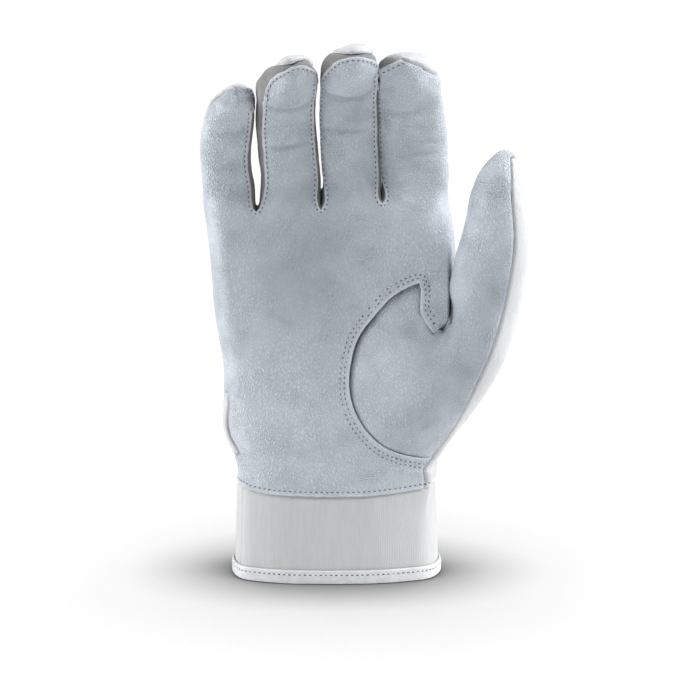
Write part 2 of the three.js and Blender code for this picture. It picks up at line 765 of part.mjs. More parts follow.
// A strip laid round the back of the cuff between two angles, at a height, off the surface.
// Its sections stand on the cuff's own columns, and a tongue's end is rounded.
function stripGeometry([start, end], foot, height, offsetAt, thickness, roundAngle = 0) {
  const first = start + sectionClearAngle;
  const last = end - roundAngle - sectionClearAngle;
  const stations = footRing.map(({ angle }) => angle).filter((angle) => angle > first && angle < last);
  const endShares = roundAngle ? tongueRoundShares : [0];
  endShares.forEach((share) => stations.push(end - roundAngle * share));
  const rows = [start, ...stations].map((angle) => {
    const left = roundAngle ? Math.min((end - angle) / roundAngle, 1) : 1;
    const halfHeight = half(height) * Math.sqrt(1 - (1 - tongueTipShare ** 2) * (1 - left) ** 2);
    const middle = foot + half(height);
    const inside = offsetAt(angle);
    const outside = inside + thickness;
    const section = [
      [inside, -halfHeight],
      [inside, halfHeight],
      [outside - strapCorner, halfHeight],
      [outside, halfHeight - strapCorner],
      [outside, strapCorner - halfHeight],
      [outside - strapCorner, -halfHeight],
    ];
    return section.map(([offset, z]) => overCuff(angle, middle + z, offset));
  });
  return loftGeometry(rows, false);
}

const glove = new THREE.Group();
const palette = {
  palm: new THREE.MeshStandardMaterial({ color: 0xb9c3ce, roughness: 0.62 }),
  white: new THREE.MeshStandardMaterial({ color: 0xe9edf0, roughness: 0.6 }),
  knit: new THREE.MeshStandardMaterial({ color: 0xa9b0b8, roughness: 0.9 }),
  elastic: new THREE.MeshStandardMaterial({ color: 0xd8d9d8, roughness: 0.85 }),
  satin: new THREE.MeshStandardMaterial({ color: 0xf0f1f1, roughness: 0.45 }),
  nap: new THREE.MeshStandardMaterial({ color: 0xdfe2e4, roughness: 0.95 }),
};
function add(name, geometry, material) {
  const mesh = new THREE.Mesh(geometry, palette[material]);
  mesh.name = name;
  glove.add(mesh);
}

// Booleans on closed meshes
function solidOf(geometry) {
  const merged = mergeVertices(geometry, weldReach);
  const mesh = new wasm.Mesh({
    numProp: 3,
    vertProperties: merged.attributes.position.array,
    triVerts: new Uint32Array(merged.index.array),
  });
  return new wasm.Manifold(mesh);
}
function geometryOf(solid) {
  const mesh = solid.getMesh();
  const geometry = new THREE.BufferGeometry();
  geometry.setAttribute("position", new THREE.BufferAttribute(mesh.vertProperties, 3));
  geometry.setIndex(new THREE.BufferAttribute(mesh.triVerts, 1));
  return geometry;
}

const flush = () => 0;
const panelSheet = (panel, thickness = leather) =>
  sheetGeometry(
    skin.faces.filter(({ tag }) => tag.panel === panel && tag.level >= cuffLevelCount - 1),
    flush,
    thickness,
  );

// An outline grown outwards, or shrunk by a negative size, with its corners mitred
function grownOutline(points, grown) {
  const outwards = THREE.ShapeUtils.area(points) > 0 ? 1 : -1;
  const sideNormals = points.map((p, i) => {
    const along = points[(i + 1) % points.length].clone().sub(p);
    return new THREE.Vector2(along.y, -along.x).normalize().multiplyScalar(outwards);
  });
  return points.map((p, i) => {
    const before = sideNormals.at(i - 1);
    const mitre = before.clone().add(sideNormals[i]).normalize();
    return p.clone().addScaledVector(mitre, grown / Math.max(mitre.dot(before), mitreLimitShare));
  });
}

// The arc parts the palm's leather from the thumb's panel, half a seam's gap to each side
function arcPrism(sideShares, grown) {
  const point = ([across, rise]) => {
    const [x, , z] = place(across, 0, rise);
    return new THREE.Vector2(x, z);
  };
  const tongue = new THREE.SplineCurve(tongueShares.map(point)).getPoints(tongueSteps);
  const arc = new THREE.SplineCurve(arcShares.map(point)).getPoints(arcSteps);
  const outline = grownOutline([...tongue, ...arc, ...sideShares.map(point)], grown);
  const geometry = new THREE.ExtrudeGeometry(new THREE.Shape(outline), {
    depth: palmDepth + 2 * overrun,
    bevelEnabled: false,
  });
  geometry.deleteAttribute("normal");
  geometry.deleteAttribute("uv");
  geometry.translate(0, 0, -overrun);
  geometry.rotateX(half(Math.PI));
  return solidOf(geometry);
}
const underArc = ({ panel, level, column }) =>
  panel === "palm" && level >= cuffLevelCount && level <= webLevel && column >= 4 && column <= 6;
const thumbFaces = skin.faces.filter(({ tag }) => tag.panel === "thumb_panel" || underArc(tag));
const thumbSheet = solidOf(sheetGeometry(thumbFaces, flush, leather));
const thumbPanel = thumbSheet.intersect(arcPrism(thumbSideShares, -half(seamGap)));
const palmPanel = solidOf(panelSheet("palm")).subtract(arcPrism(palmSideShares, half(seamGap)));

add("palm_panel", geometryOf(palmPanel), "palm");
add("thumb_panel", geometryOf(thumbPanel), "palm");
add("back_panel", panelSheet("back"), "white");
add("knuckle_flex", panelSheet("knuckle_flex"), "white");
["little_ring", "ring_middle", "middle_index"].forEach((pair, i) =>
  add("web_" + pair, panelSheet("fourchette_" + i, knit), "knit"),
);
for (const f of fingers) {
  add(f.name + "_front", panelSheet(f.name + "_front"), "palm");
  add(f.name + "_back", panelSheet(f.name + "_back"), "white");
  if (f !== fingers[0]) add(f.name + "_left_fourchette", panelSheet(f.name + "_left", knit), "knit");
  if (f !== fingers.at(-1)) add(f.name + "_right_fourchette", panelSheet(f.name + "_right", knit), "knit");
}
add("thumb_front", panelSheet("thumb_front"), "palm");
add("thumb_back", panelSheet("thumb_back"), "white");

// The band's upper edge lies under the leather
const bandSunk = (p) => (p.z > leatherFoot - half(bandLap) ? leather + layerGap : bandSink);
add("cuff_band", sheetGeometry(cuffSkin, bandSunk, elastic), "elastic");
add("hem_binding", hemGeometry(), "satin");

const loopOver = () => bandOver;
const hookOver = () => bandOver + patchThickness + layerGap;
const strapRise = 2 * (patchThickness + layerGap);
const strapOver = (angle) => bandOver + strapRise * THREE.MathUtils.smoothstep(angle, ...climbAngles);
const patchFoot = strapFoot + patchMargin;
const patchHeight = strapHeight - 2 * patchMargin;
add("loop_patch", stripGeometry(loopAngles, patchFoot, patchHeight, loopOver, patchThickness), "nap");
add("strap_anchor", stripGeometry(anchorAngles, strapFoot, strapHeight, loopOver, strapThickness), "white");
const strapGeometry = stripGeometry(strapAngles, strapFoot, strapHeight, strapOver, strapThickness, tongueAngle);
add("closure_strap", strapGeometry, "white");
add("hook_patch", stripGeometry(hookAngles, patchFoot, patchHeight, hookOver, patchThickness), "nap");

// The origin goes under the middle of the whole glove
const box = new THREE.Box3().setFromObject(glove);
const middle = box.getCenter(new THREE.Vector3());
for (const mesh of glove.children) mesh.position.set(-middle.x, -middle.y, -box.min.z);

export default glove;
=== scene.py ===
# A right-hand leather batting glove on its cuff: sewn leather, knit, elastic, satin and thread.
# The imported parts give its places. Lengths here are millimetres until a mesh is made.
import math
import bpy
import numpy as np
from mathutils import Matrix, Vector, noise
from mathutils.bvhtree import BVHTree
from mathutils.kdtree import KDTree


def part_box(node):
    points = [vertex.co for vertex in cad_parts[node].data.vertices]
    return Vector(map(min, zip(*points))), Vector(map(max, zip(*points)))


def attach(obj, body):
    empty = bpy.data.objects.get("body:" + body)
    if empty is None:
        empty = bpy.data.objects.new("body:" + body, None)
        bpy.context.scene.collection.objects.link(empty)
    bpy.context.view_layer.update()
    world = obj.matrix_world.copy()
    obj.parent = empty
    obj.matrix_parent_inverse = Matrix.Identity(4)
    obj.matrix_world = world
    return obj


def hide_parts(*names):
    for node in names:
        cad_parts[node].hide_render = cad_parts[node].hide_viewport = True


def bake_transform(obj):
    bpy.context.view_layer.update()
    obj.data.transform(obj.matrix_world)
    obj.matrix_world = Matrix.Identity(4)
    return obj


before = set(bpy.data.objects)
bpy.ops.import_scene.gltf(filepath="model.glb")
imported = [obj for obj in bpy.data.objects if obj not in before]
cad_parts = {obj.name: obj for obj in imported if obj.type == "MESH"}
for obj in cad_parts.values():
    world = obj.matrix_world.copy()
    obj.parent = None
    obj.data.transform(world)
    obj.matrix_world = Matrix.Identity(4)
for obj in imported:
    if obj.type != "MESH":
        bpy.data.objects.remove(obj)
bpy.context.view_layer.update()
metre = 0.001  # one millimetre

# The camera looks at the palm from a little above, from far away
view = {
    "aim": (-5.85, 2.25, 97.9),
    "elevation": 10.0,
    "distance": 1400.0,
    "fieldOfView": 12.4,
    "photoSide": 700,
    "sensorWidth": 36,
    "clip": (0.1, 20),  # in metres
}


def addObject(name, data):
    obj = bpy.data.objects.new(name, data)
    bpy.context.scene.collection.objects.link(obj)
    return obj


def turnTowards(obj, direction):
    obj.rotation_euler = direction.to_track_quat("-Z", "Y").to_euler()


def viewAxes():
    # from the glove towards the camera, and up in its picture
    lift = math.radians(view["elevation"])
    return np.array([0, -math.cos(lift), math.sin(lift)]), np.array([0, math.sin(lift), math.cos(lift)])


def makeCamera():
    away = Vector(viewAxes()[0])
    camera = addObject("camera", bpy.data.cameras.new("camera"))
    camera.location = (Vector(view["aim"]) + away * view["distance"]) * metre
    turnTowards(camera, -away)
    camera.data.sensor_width = view["sensorWidth"]
    camera.data.angle = math.radians(view["fieldOfView"])
    camera.data.clip_start, camera.data.clip_end = view["clip"]
    bpy.context.scene.camera = camera


def inPhoto(points):
    # where points in millimetres show in the photo's frame, in its pixels
    away, up = viewAxes()
    offset = points - (np.array(view["aim"]) + away * view["distance"])
    centre = view["photoSide"] / 2
    focal = centre / math.tan(math.radians(view["fieldOfView"]) / 2)
    depth = -(offset @ away)
    return np.stack([centre + focal * offset[:, 0] / depth, centre - focal * (offset @ up) / depth], 1)


def smooth(x):
    x = np.clip(x, 0, 1)
    return x * x * (3 - 2 * x)


def bell(x):
    return np.exp(-(x**2))


def unit(vectors):
    return vectors / np.maximum(np.linalg.norm(vectors, axis=-1, keepdims=True), 1e-9)


def softNoise(spots, size, seed):
    # smooth noise of one feature size, from about -1 to 1
    offset = Vector((seed * 17.3, seed * 5.1, seed * 9.7))
    return np.array([noise.noise(Vector(spot) / size + offset) for spot in spots]) * 1.6


def curveThrough(spots, steps):
    spots = np.array(spots, float)
    last = len(spots) - 1
    line = []
    for i in range(steps + 1):
        k = min(last * i // steps, last - 1)
        t = last * i / steps - k
        a, b, c, d = (spots[min(max(k + n, 0), last)] for n in (-1, 0, 1, 2))
        v, w = (c - a) / 2, (d - b) / 2
        line.append((2 * b - 2 * c + v + w) * t**3 + (3 * c - 3 * b - 2 * v - w) * t**2 + v * t + b)
    return line


def distanceToLine(flat, line):
    # how far flat points lie from a line, how far along it their nearest place is, and on which side they lie
    nearest = np.full(len(flat), 1e9)
    share, above = np.zeros(len(flat)), np.zeros(len(flat))
    for k, (a, b) in enumerate(zip(line, line[1:])):
        along = b - a
        t = np.clip(((flat - a) @ along) / (along @ along), 0, 1)
        distance = np.linalg.norm(flat - a - t[:, None] * along, axis=1)
        closer = distance < nearest
        nearest[closer] = distance[closer]
        share[closer] = ((k + t) / (len(line) - 1))[closer]
        side = along[1] * (flat[:, 0] - a[0]) - along[0] * (flat[:, 1] - a[1])
        above[closer] = np.sign(side)[closer]
    return nearest, share, above


def depthInside(outline, flat):
    # how far inside a closed outline flat points lie, negative outside it
    nearest = np.full(len(flat), 1e9)
    inside = np.zeros(len(flat), bool)
    for a, b in zip(outline, np.roll(outline, -1, 0)):
        along = b - a
        t = np.clip(((flat - a) @ along) / max(along @ along, 1e-12), 0, 1)
        nearest = np.minimum(nearest, np.linalg.norm(flat - a - t[:, None] * along, axis=1))
        crosses = (a[1] > flat[:, 1]) != (b[1] > flat[:, 1])
        height = along[1] if along[1] else 1
        inside ^= crosses & (flat[:, 0] < a[0] + (flat[:, 1] - a[1]) / height * along[0])
    return np.where(inside, nearest, -nearest)


makeCamera()
print("camera set")

# The hand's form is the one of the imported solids: shares follow the breadth across the knuckles
hand = {
    "breadth": 100.0,
    "palmDepth": 38.0,
    "leatherFoot": 38.0,
    "bandFoot": 1.4,
    "hemWidth": 90.0,
    "hemDepth": 54.0,
    "wristWidth": 87.0,
    "wristDepth": 46.0,
    "knuckleDepthShare": 0.7,
    "crotchRiseShare": 1.235,
    "rowLeftShare": -0.576,
    "columnInShare": 0.16,
    "cuffRiseShares": [0, 0.5, 1],
    # rise, left and right edge, depth
    "levelShares": [
        (0.1, -0.432, 0.442, 1.19),
        (0.19, -0.463, 0.485, 1.15),
        (0.3, -0.494, 0.55, 1.11),
        (0.51, -0.49, 0.54, 1.03),
        (0.74, -0.525, 0.505, 0.97),
        (1.0, -0.546, 0.516, 0.88),
    ],
    "footRiseShares": [0.022, 0.008, 0, -0.003, -0.004, -0.003, 0.002, 0.014, 0.024, 0.028],
    # front, middle and back of the three crotches
    "crotchShares": [(1.213, 1.205, 1.214), (1.222, 1.25, 1.285), (1.25, 1.27, 1.29)],
    "cuffDepthShares": [0.56, 0.78, 0.93, 0.99, 1, 0.99, 0.93, 0.78, 0.56],
    "palmDepthShares": [
        [0.56, 0.78, 0.94, 0.99, 1, 1, 0.97, 0.82, 0.56],
        [0.58, 0.84, 1.02, 1.04, 1.02, 1.04, 1.06, 0.9, 0.5],
        [0.5, 0.86, 1.08, 1.1, 1.06, 1.14, 1.24, 1.14, 0.6],
        [0.6, 0.9, 1.06, 1.02, 0.98, 1.14, 1.34, 1.32, 0.8],
        [0.62, 0.88, 1, 0.95, 0.88, 0.9, 1.0, 0.96, 0.6],
        [0.66, 0.88, 0.98, 1.02, 0.98, 1.02, 0.99, 0.95, 0.66],
        [0.66, 1, 0.86, 1.04, 0.88, 1.04, 0.88, 1, 0.66],
    ],
    "backDepthShares": [
        [0.56, 0.76, 0.93, 0.99, 1, 0.99, 0.93, 0.76, 0.56],
        [0.52, 0.76, 0.93, 0.99, 1, 0.99, 0.93, 0.76, 0.56],
        [0.42, 0.72, 0.92, 0.99, 1, 0.99, 0.93, 0.8, 0.62],
        [0.5, 0.76, 0.94, 1, 1.02, 1.01, 0.96, 0.85, 0.7],
        [0.54, 0.78, 0.94, 1, 1.02, 1.01, 0.96, 0.82, 0.6],
        [0.58, 0.86, 0.95, 1.04, 1, 1.06, 0.98, 0.94, 0.6],
        [0.66, 1, 0.84, 1.04, 0.86, 1.04, 0.86, 1, 0.66],
    ],
    "littleSeamShares": [0, 0, 0.1, 0.2, 0.28, 0.22, 0, -0.12, -0.2, -0.3],
    "thumbSeamShares": [0, 0, 0, 0, 0, 0, 0, -0.1, -0.2, -0.3],
}

# Little finger to index finger: sizes are shares of the hand's breadth, and curl and roll are the angles
# at each station from root to tip
fingers = [
    {
        "name": "little",
        "width": 0.221,
        "depth": 0.182,
        "length": 0.56,
        "gap": 0.028,
        "rise": 0.0,
        "curl": [2, 4, 8, 13, 20, 30, 38],
        "roll": [0, 0, 0, 0, 0, 0, 0],
        "slant": 0.02,
        "drift": [0.003, -0.006, -0.011, -0.006, 0.007, 0.02, 0.032],
        "widths": [1, 0.99, 0.985, 1, 0.97, 0.86, 0.6],
    },
    {
        "name": "ring",
        "width": 0.256,
        "depth": 0.196,
        "length": 0.72,
        "gap": 0.013,
        "rise": 0.004,
        "curl": [3, 5, 13, 21, 31, 41, 47],
        "roll": [3, 6, 8, 9, 11, 14, 16],
        "slant": 0.03,
        "drift": [0.003, -0.003, -0.011, -0.017, -0.014, -0.009, 0.002],
        "widths": [1, 1, 0.99, 0.985, 0.97, 0.98, 0.7],
    },
    {
        "name": "middle",
        "width": 0.25,
        "depth": 0.2,
        "length": 0.757,
        "gap": 0.011,
        "rise": 0.012,
        "curl": [3, 5, 12, 19, 29, 39, 46],
        "roll": [2, 4, 5, 6, 8, 10, 12],
        "slant": 0.016,
        "drift": [0.001, -0.003, -0.008, -0.011, -0.011, -0.01, -0.008],
        "widths": [1, 1, 1, 1, 0.97, 0.95, 0.72],
    },
    {
        "name": "index",
        "width": 0.286,
        "depth": 0.204,
        "length": 0.683,
        "gap": 0,
        "rise": 0.018,
        "curl": [2, 4, 8, 13, 21, 30, 37],
        "roll": [1, 2, 3, 4, 6, 9, 12],
        "slant": -0.008,
        "drift": [-0.006, -0.006, -0.009, -0.016, -0.026, -0.037, -0.054],
        "widths": [1, 0.99, 0.98, 0.96, 0.925, 0.885, 0.7],
    },
]

# What the four fingers share: where their stations lie, and the form of a section
fingerForm = {
    "stationShares": [0.12, 0.25, 0.38, 0.52, 0.66, 0.81, 0.94],
    "frontShares": [1, 1, 0.92, 1, 0.88, 0.96, 0.66],
    "backShares": [1, 0.98, 1.02, 0.96, 0.94, 0.86, 0.62],
    "cornerShare": 0.87,
    "cornerDepthShare": 0.64,
    "outerSeamShare": 0.3,
    "slantAlongShares": [0, 0, 0, 0, 0, 0.35, 1],
    "archAlongShares": [0, 0, 0, 0, 0, 0.008, 0.028],
}

# Thumb rings from root to tip: inner and outer edge as (across, rise), the middle's depth, the depth
thumb = {
    "rings": [
        ((0.492, 0.8), (0.668, 0.46), -0.1, 0.33),
        ((0.484, 0.9), (0.776, 0.745), -0.13, 0.3),
        ((0.518, 1.069), (0.815, 0.965), -0.17, 0.274),
        ((0.549, 1.19), (0.82, 1.135), -0.205, 0.25),
        ((0.569, 1.309), (0.797, 1.287), -0.235, 0.226),
        ((0.608, 1.409), (0.782, 1.396), -0.26, 0.186),
        ((0.659, 1.47), (0.764, 1.47), -0.275, 0.124),
    ],
    "tipShare": (0.711, -0.285, 1.508),
    "capShare": 0.62,
    "angles": [58, 25, -8, -40, -72, -99, -126, -157, 172, 146, 116, 87],
    # level, column and the point where the thumb leaves the hand
    "rootShares": [
        (2, 7, 0.384, -0.152, 0.018),
        (2, 8, 0.412, -0.095, 0.025),
        (3, 7, 0.38, -0.172, 0.095),
        (3, 8, 0.415, -0.1, 0.095),
        (4, 7, 0.44, -0.14, 0.185),
        (4, 8, 0.465, -0.06, 0.17),
        (4, 9, 0.47, 0.03, 0.165),
        (4, 10, 0.44, 0.12, 0.17),
        (5, 7, 0.43, -0.22, 0.31),
        (5, 10, 0.49, 0.13, 0.3),
        (6, 7, 0.42, -0.26, 0.5),
        (6, 10, 0.52, 0.12, 0.5),
        (7, 7, 0.419, -0.165, 0.7),
        (7, 8, 0.452, -0.08, 0.72),
        (7, 9, 0.495, 0.01, 0.78),
        (7, 10, 0.5, 0.09, 0.8),
    ],
}

# Edge of the palm's leather round the thumb's panel: the tongue in the crotch, the arc, and the far side
arc = {
    "tongueShares": [
        (0.424, 0.695),
        (0.402, 0.72),
        (0.379, 0.757),
        (0.357, 0.797),
        (0.358, 0.85),
        (0.366, 0.914),
    ],
    "arcShares": [
        (0.364, 0.918),
        (0.252, 0.861),
        (0.163, 0.764),
        (0.098, 0.67),
        (0.068, 0.558),
        (0.063, 0.464),
        (0.08, 0.381),
        (0.123, 0.301),
        (0.192, 0.231),
        (0.273, 0.186),
        (0.38, 0.152),
    ],
    "sideShares": [(0.6, 0.152), (0.6, 0.64), (0.45, 0.64)],
    "tongueSteps": 24,
    "arcSteps": 90,
    "columns": (4, 6),  # the palm's columns that it crosses
    "lastStitch": 30.6,  # across, in millimetres
}

# Rings of points go round the hand, level by level, from the hem to the finger roots
frontCount = 9  # points across the palm between the two edges
cuffLevelCount = 3
holeLevelCount = 3  # levels that the thumb grows out of
columnCount = 2 * (frontCount + 1)
flareLevel = cuffLevelCount + 1
webLevel = flareLevel + holeLevelCount
topLevel = cuffLevelCount + len(hand["levelShares"])
capLevel = topLevel + len(fingerForm["stationShares"])
breadth = hand["breadth"]
fitSteps = 25
fineSteps = 4


def place(across, deep, rise):
    return [breadth * across, breadth * deep, hand["leatherFoot"] + breadth * rise]


class Cage:
    # four-cornered faces with their panel, level and column, and where each corner lies on its finger
    def __init__(self):
        self.points, self.faces, self.panels, self.levels, self.columns, self.spots = [], [], [], [], [], []

    def point(self, spot):
        self.points.append(list(spot))
        return len(self.points) - 1

    def quad(self, corners, panel, level, column=-1, spots=((0, 0),) * 4):
        self.faces.append(corners)
        self.panels.append(panel)
        self.levels.append(level)
        self.columns.append(column)
        self.spots.append(spots)


def layOutFingers():
    reached = breadth * hand["rowLeftShare"]
    for finger in fingers:
        width = breadth * finger["width"]
        finger["left"], finger["middle"], finger["right"] = reached, reached + width / 2, reached + width
        finger["root"] = hand["leatherFoot"] + breadth * (hand["crotchRiseShare"] + finger["rise"])
        reached += width + breadth * finger["gap"]
    return breadth * hand["rowLeftShare"], reached


def handRings(rowLeft, rowRight):
    crotches = [(fingers[i]["right"] + fingers[i + 1]["left"]) / 2 for i in range(3)]
    first, last = fingers[0], fingers[3]
    columnsAt = [
        first["left"] + hand["columnInShare"] * breadth * first["width"],
        first["middle"],
        crotches[0],
        fingers[1]["middle"],
        crotches[1],
        fingers[2]["middle"],
        crotches[2],
        last["middle"],
        last["right"] - hand["columnInShare"] * breadth * last["width"],
    ]
    columnShares = [(x - rowLeft) / (rowRight - rowLeft) for x in columnsAt]
    levels = []
    for share in hand["cuffRiseShares"]:
        width = hand["hemWidth"] + (hand["wristWidth"] - hand["hemWidth"]) * share
        depth = hand["hemDepth"] + (hand["wristDepth"] - hand["hemDepth"]) * share
        height = hand["bandFoot"] + (hand["leatherFoot"] - hand["bandFoot"]) * share
        shares = hand["cuffDepthShares"]
        levels.append((height, -width / 2, width / 2, depth, shares, shares))
    for i, (rise, left, right, depth) in enumerate(hand["levelShares"]):
        height = hand["leatherFoot"] + breadth * rise
        front, back = hand["palmDepthShares"][i], hand["backDepthShares"][i]
        levels.append((height, breadth * left, breadth * right, hand["palmDepth"] * depth, front, back))
    height = hand["leatherFoot"] + breadth * hand["crotchRiseShare"]
    depth = hand["palmDepth"] * hand["knuckleDepthShare"]
    front, back = hand["palmDepthShares"][-1], hand["backDepthShares"][-1]
    levels.append((height, rowLeft, rowRight, depth, front, back))
    rings = []
    for k, (z, left, right, depth, front, back) in enumerate(levels):
        across = [left + (right - left) * share for share in columnShares]
        ring = [[x, -depth / 2 * share, z] for x, share in zip(across, front)]
        ring.append([right, -depth / 2 * hand["thumbSeamShares"][k], z])
        ring += [[x, depth / 2 * share, z] for x, share in zip(across[::-1], back[::-1])]
        ring.append([left, -depth / 2 * hand["littleSeamShares"][k], z])
        rings.append(ring)
    foot = hand["footRiseShares"]
    for j, spot in enumerate(rings[cuffLevelCount - 1]):
        spot[2] += breadth * foot[min(j, len(foot) - 1)]
    for level, column, *shares in thumb["rootShares"]:
        rings[level][column] = place(*shares)
    for i, (front, _, back) in enumerate(hand["crotchShares"]):
        rings[topLevel][2 * i + 2][2] = hand["leatherFoot"] + breadth * front
        rings[topLevel][2 * frontCount - 2 * i - 2][2] = hand["leatherFoot"] + breadth * back
    return rings, crotches


def buildHand(cage, rings):
    top = [[cage.point(spot) for spot in ring] for ring in rings]
    for k in range(topLevel):
        for j in range(columnCount):
            if flareLevel <= k < webLevel and frontCount - 2 <= j <= frontCount:
                continue
            lowThumbSide = k < flareLevel and frontCount - 2 <= j < frontCount
            panel = "back" if frontCount <= j < columnCount - 1 or lowThumbSide else "palm"
            if k == webLevel and frontCount + 1 < j < columnCount - 3:
                panel = "flex"
            n = (j + 1) % columnCount
            corners = [top[k][j], top[k][n], top[k + 1][n], top[k + 1][j]]
            cage.quad(corners, panel, k, j, ((j, k), (j + 1, k), (j + 1, k + 1), (j, k + 1)))
    return top


# The side of a finger that each face round it is on
aroundFinger = ["front", "front", "right", "right", "back", "back", "left", "left"]


def fingerPanel(i, face, isRoot):
    # palm leather also wraps the outer sides of the little and index finger
    side = aroundFinger[face]
    if (i == 0 and side == "left") or (i == 3 and side == "right"):
        side = "front" if face in (2, 7) else "back"
    if isRoot:
        return {"front": "palm", "back": "back", "left": f"web{i - 1}", "right": f"web{i}"}[side]
    return fingers[i]["name"] + "_" + side


def buildFinger(cage, i, handPoints, crotchPoints):
    finger, top = fingers[i], handPoints[topLevel]
    front, behind = 2 * i, 2 * (frontCount - i)
    below = [
        top[front],
        top[front + 1],
        top[front + 2],
        crotchPoints[i] if i < 3 else top[frontCount],
        top[behind - 2],
        top[behind - 1],
        top[behind],
        crotchPoints[i - 1] if i > 0 else top[columnCount - 1],
    ]
    form = fingerForm
    y, z, along, lean = 0, finger["root"], 0, 0
    length = breadth * finger["length"]
    corner, cornerDepth = form["cornerShare"], form["cornerDepthShare"]
    leftSeam = -form["outerSeamShare"] if i == 0 else 0
    rightSeam = -form["outerSeamShare"] if i == 3 else 0
    section = [
        (-corner, cornerDepth),
        (0, 1),
        (corner, cornerDepth),
        (1, rightSeam),
        (corner, -cornerDepth),
        (0, -1),
        (-corner, -cornerDepth),
        (-1, leftSeam),
    ]
    for s, share in enumerate(form["stationShares"]):
        tilt = math.radians((lean + finger["curl"][s]) / 2)
        y -= (share - along) * length * math.sin(tilt)
        z += (share - along) * length * math.cos(tilt)
        lower, along, lean = along, share, finger["curl"][s]
        curl, roll = math.radians(lean), math.radians(finger["roll"][s])
        forward = np.array([0, -math.cos(curl), -math.sin(curl)])
        sideways = np.array([1.0, 0, 0])
        u = sideways * math.cos(roll) - forward * math.sin(roll)
        v = forward * math.cos(roll) + sideways * math.sin(roll)
        upwards = -np.cross(u, forward)
        centre = np.array([finger["middle"] + breadth * finger["drift"][s], y, z])
        ring = []
        for p, q in section:
            deepShares = form["frontShares"] if q > 0 else form["backShares"]
            deep = breadth * finger["depth"] / 2 * deepShares[s]
            lift = breadth * form["slantAlongShares"][s] * (finger["slant"] * p - abs(finger["slant"]))
            lift += breadth * form["archAlongShares"][s] if q == 1 else 0
            across = p * breadth * finger["width"] / 2 * finger["widths"][s]
            ring.append(cage.point(centre + u * across + v * q * deep + upwards * lift))
        for j in range(8):
            n = (j + 1) % 8
            q = j if j < 7 else -1
            spots = ((q - 1, lower), (q, lower), (q, share), (q - 1, share))
            corners = [below[j], below[n], ring[n], ring[j]]
            cage.quad(corners, fingerPanel(i, j, s == 0), topLevel + s, i, spots)
        below = ring
    tilt = math.radians(lean)
    step = (1 - along) * length
    x = finger["middle"] + breadth * finger["drift"][-1]
    tip = cage.point([x, y - step * math.sin(tilt), z + step * math.cos(tilt)])
    capFront = finger["name"] + ("_front" if i == 0 else "_left")
    capBack = finger["name"] + "_back"
    cage.quad([below[0], below[1], tip, below[7]], capFront, capLevel, i)
    cage.quad([below[1], below[2], below[3], tip], capFront, capLevel, i)
    cage.quad([tip, below[3], below[4], below[5]], capBack, capLevel, i)
    cage.quad([below[7], tip, below[5], below[6]], capBack, capLevel, i)


def buildThumb(cage, at):
    low, high = flareLevel, webLevel
    below = [at[low][7], at[low][8], at[low][9], at[low][10], at[low + 1][10], at[low + 2][10]]
    below += [at[high][10], at[high][9], at[high][8], at[high][7], at[low + 2][7], at[low + 1][7]]
    for s, (inner, outer, middle, depth) in enumerate(thumb["rings"]):
        near = np.array(place(inner[0], middle, inner[1]))
        far = np.array(place(outer[0], middle, outer[1]))
        centre = (near + far) / 2
        forward = np.array([0, -breadth * depth / 2, 0])
        turns = [math.radians(angle) for angle in thumb["angles"]]
        ring = [cage.point(centre + (far - centre) * math.cos(t) + forward * math.sin(t)) for t in turns]
        for j in range(len(ring)):
            n = (j + 1) % len(ring)
            isBack = j < len(ring) / 2
            panel = "thumb_back" if isBack else "thumb_front"
            if s < 2:
                panel = "back" if isBack else "thumb_panel"
            cage.quad([below[j], below[n], ring[n], ring[j]], panel, flareLevel + s)
        below = ring
    tip = np.array(place(*thumb["tipShare"]))

    def inward(i, j):
        near = (np.array(cage.points[below[i]]) + np.array(cage.points[below[j]])) / 2
        return cage.point(near + (tip - near) * thumb["capShare"])

    cap = [
        [below[0], below[11], below[10], below[9]],
        [below[1], inward(0, 1), inward(9, 8), below[8]],
        [below[2], inward(3, 2), inward(6, 7), below[7]],
        [below[3], below[4], below[5], below[6]],
    ]
    for u in range(3):
        for v in range(3):
            corners = [cap[u][v], cap[u + 1][v], cap[u + 1][v + 1], cap[u][v + 1]]
            cage.quad(corners, "thumb_front", topLevel)


# Catmull and Clark's rules on arrays of points and faces
def edgesOf(faces):
    ends = np.stack([faces.ravel(), np.roll(faces, -1, 1).ravel()], 1)
    ends.sort(1)
    size = faces.max() + 1
    keys, index, counts = np.unique(ends[:, 0] * size + ends[:, 1], return_inverse=True, return_counts=True)
    pairs = np.stack([keys // size, keys % size], 1)
    return pairs, index.reshape(faces.shape), counts


def gather(index, values, count):
    # the sum of the values that fall on each point
    return np.stack([np.bincount(index, values[:, k], count) for k in range(3)], 1)


def limitPoints(points, faces):
    pairs, _, counts = edgesOf(faces)
    n = len(points)
    a, b = pairs.T
    near = gather(a, points[b], n) + gather(b, points[a], n)
    valence = np.maximum(np.bincount(pairs.ravel(), minlength=n), 1)[:, None]
    far = gather(faces.ravel(), points[np.roll(faces, -2, 1).ravel()], n)
    limit = (points * valence**2 + 4 * near + far) / (valence * (valence + 5))
    rimA, rimB = pairs[counts == 1].T
    rim = gather(rimA, points[rimB], n) + gather(rimB, points[rimA], n)
    onRim = np.bincount(np.concatenate([rimA, rimB]), minlength=n) > 0
    limit[onRim] = (4 * points[onRim] + rim[onRim]) / 6
    return limit


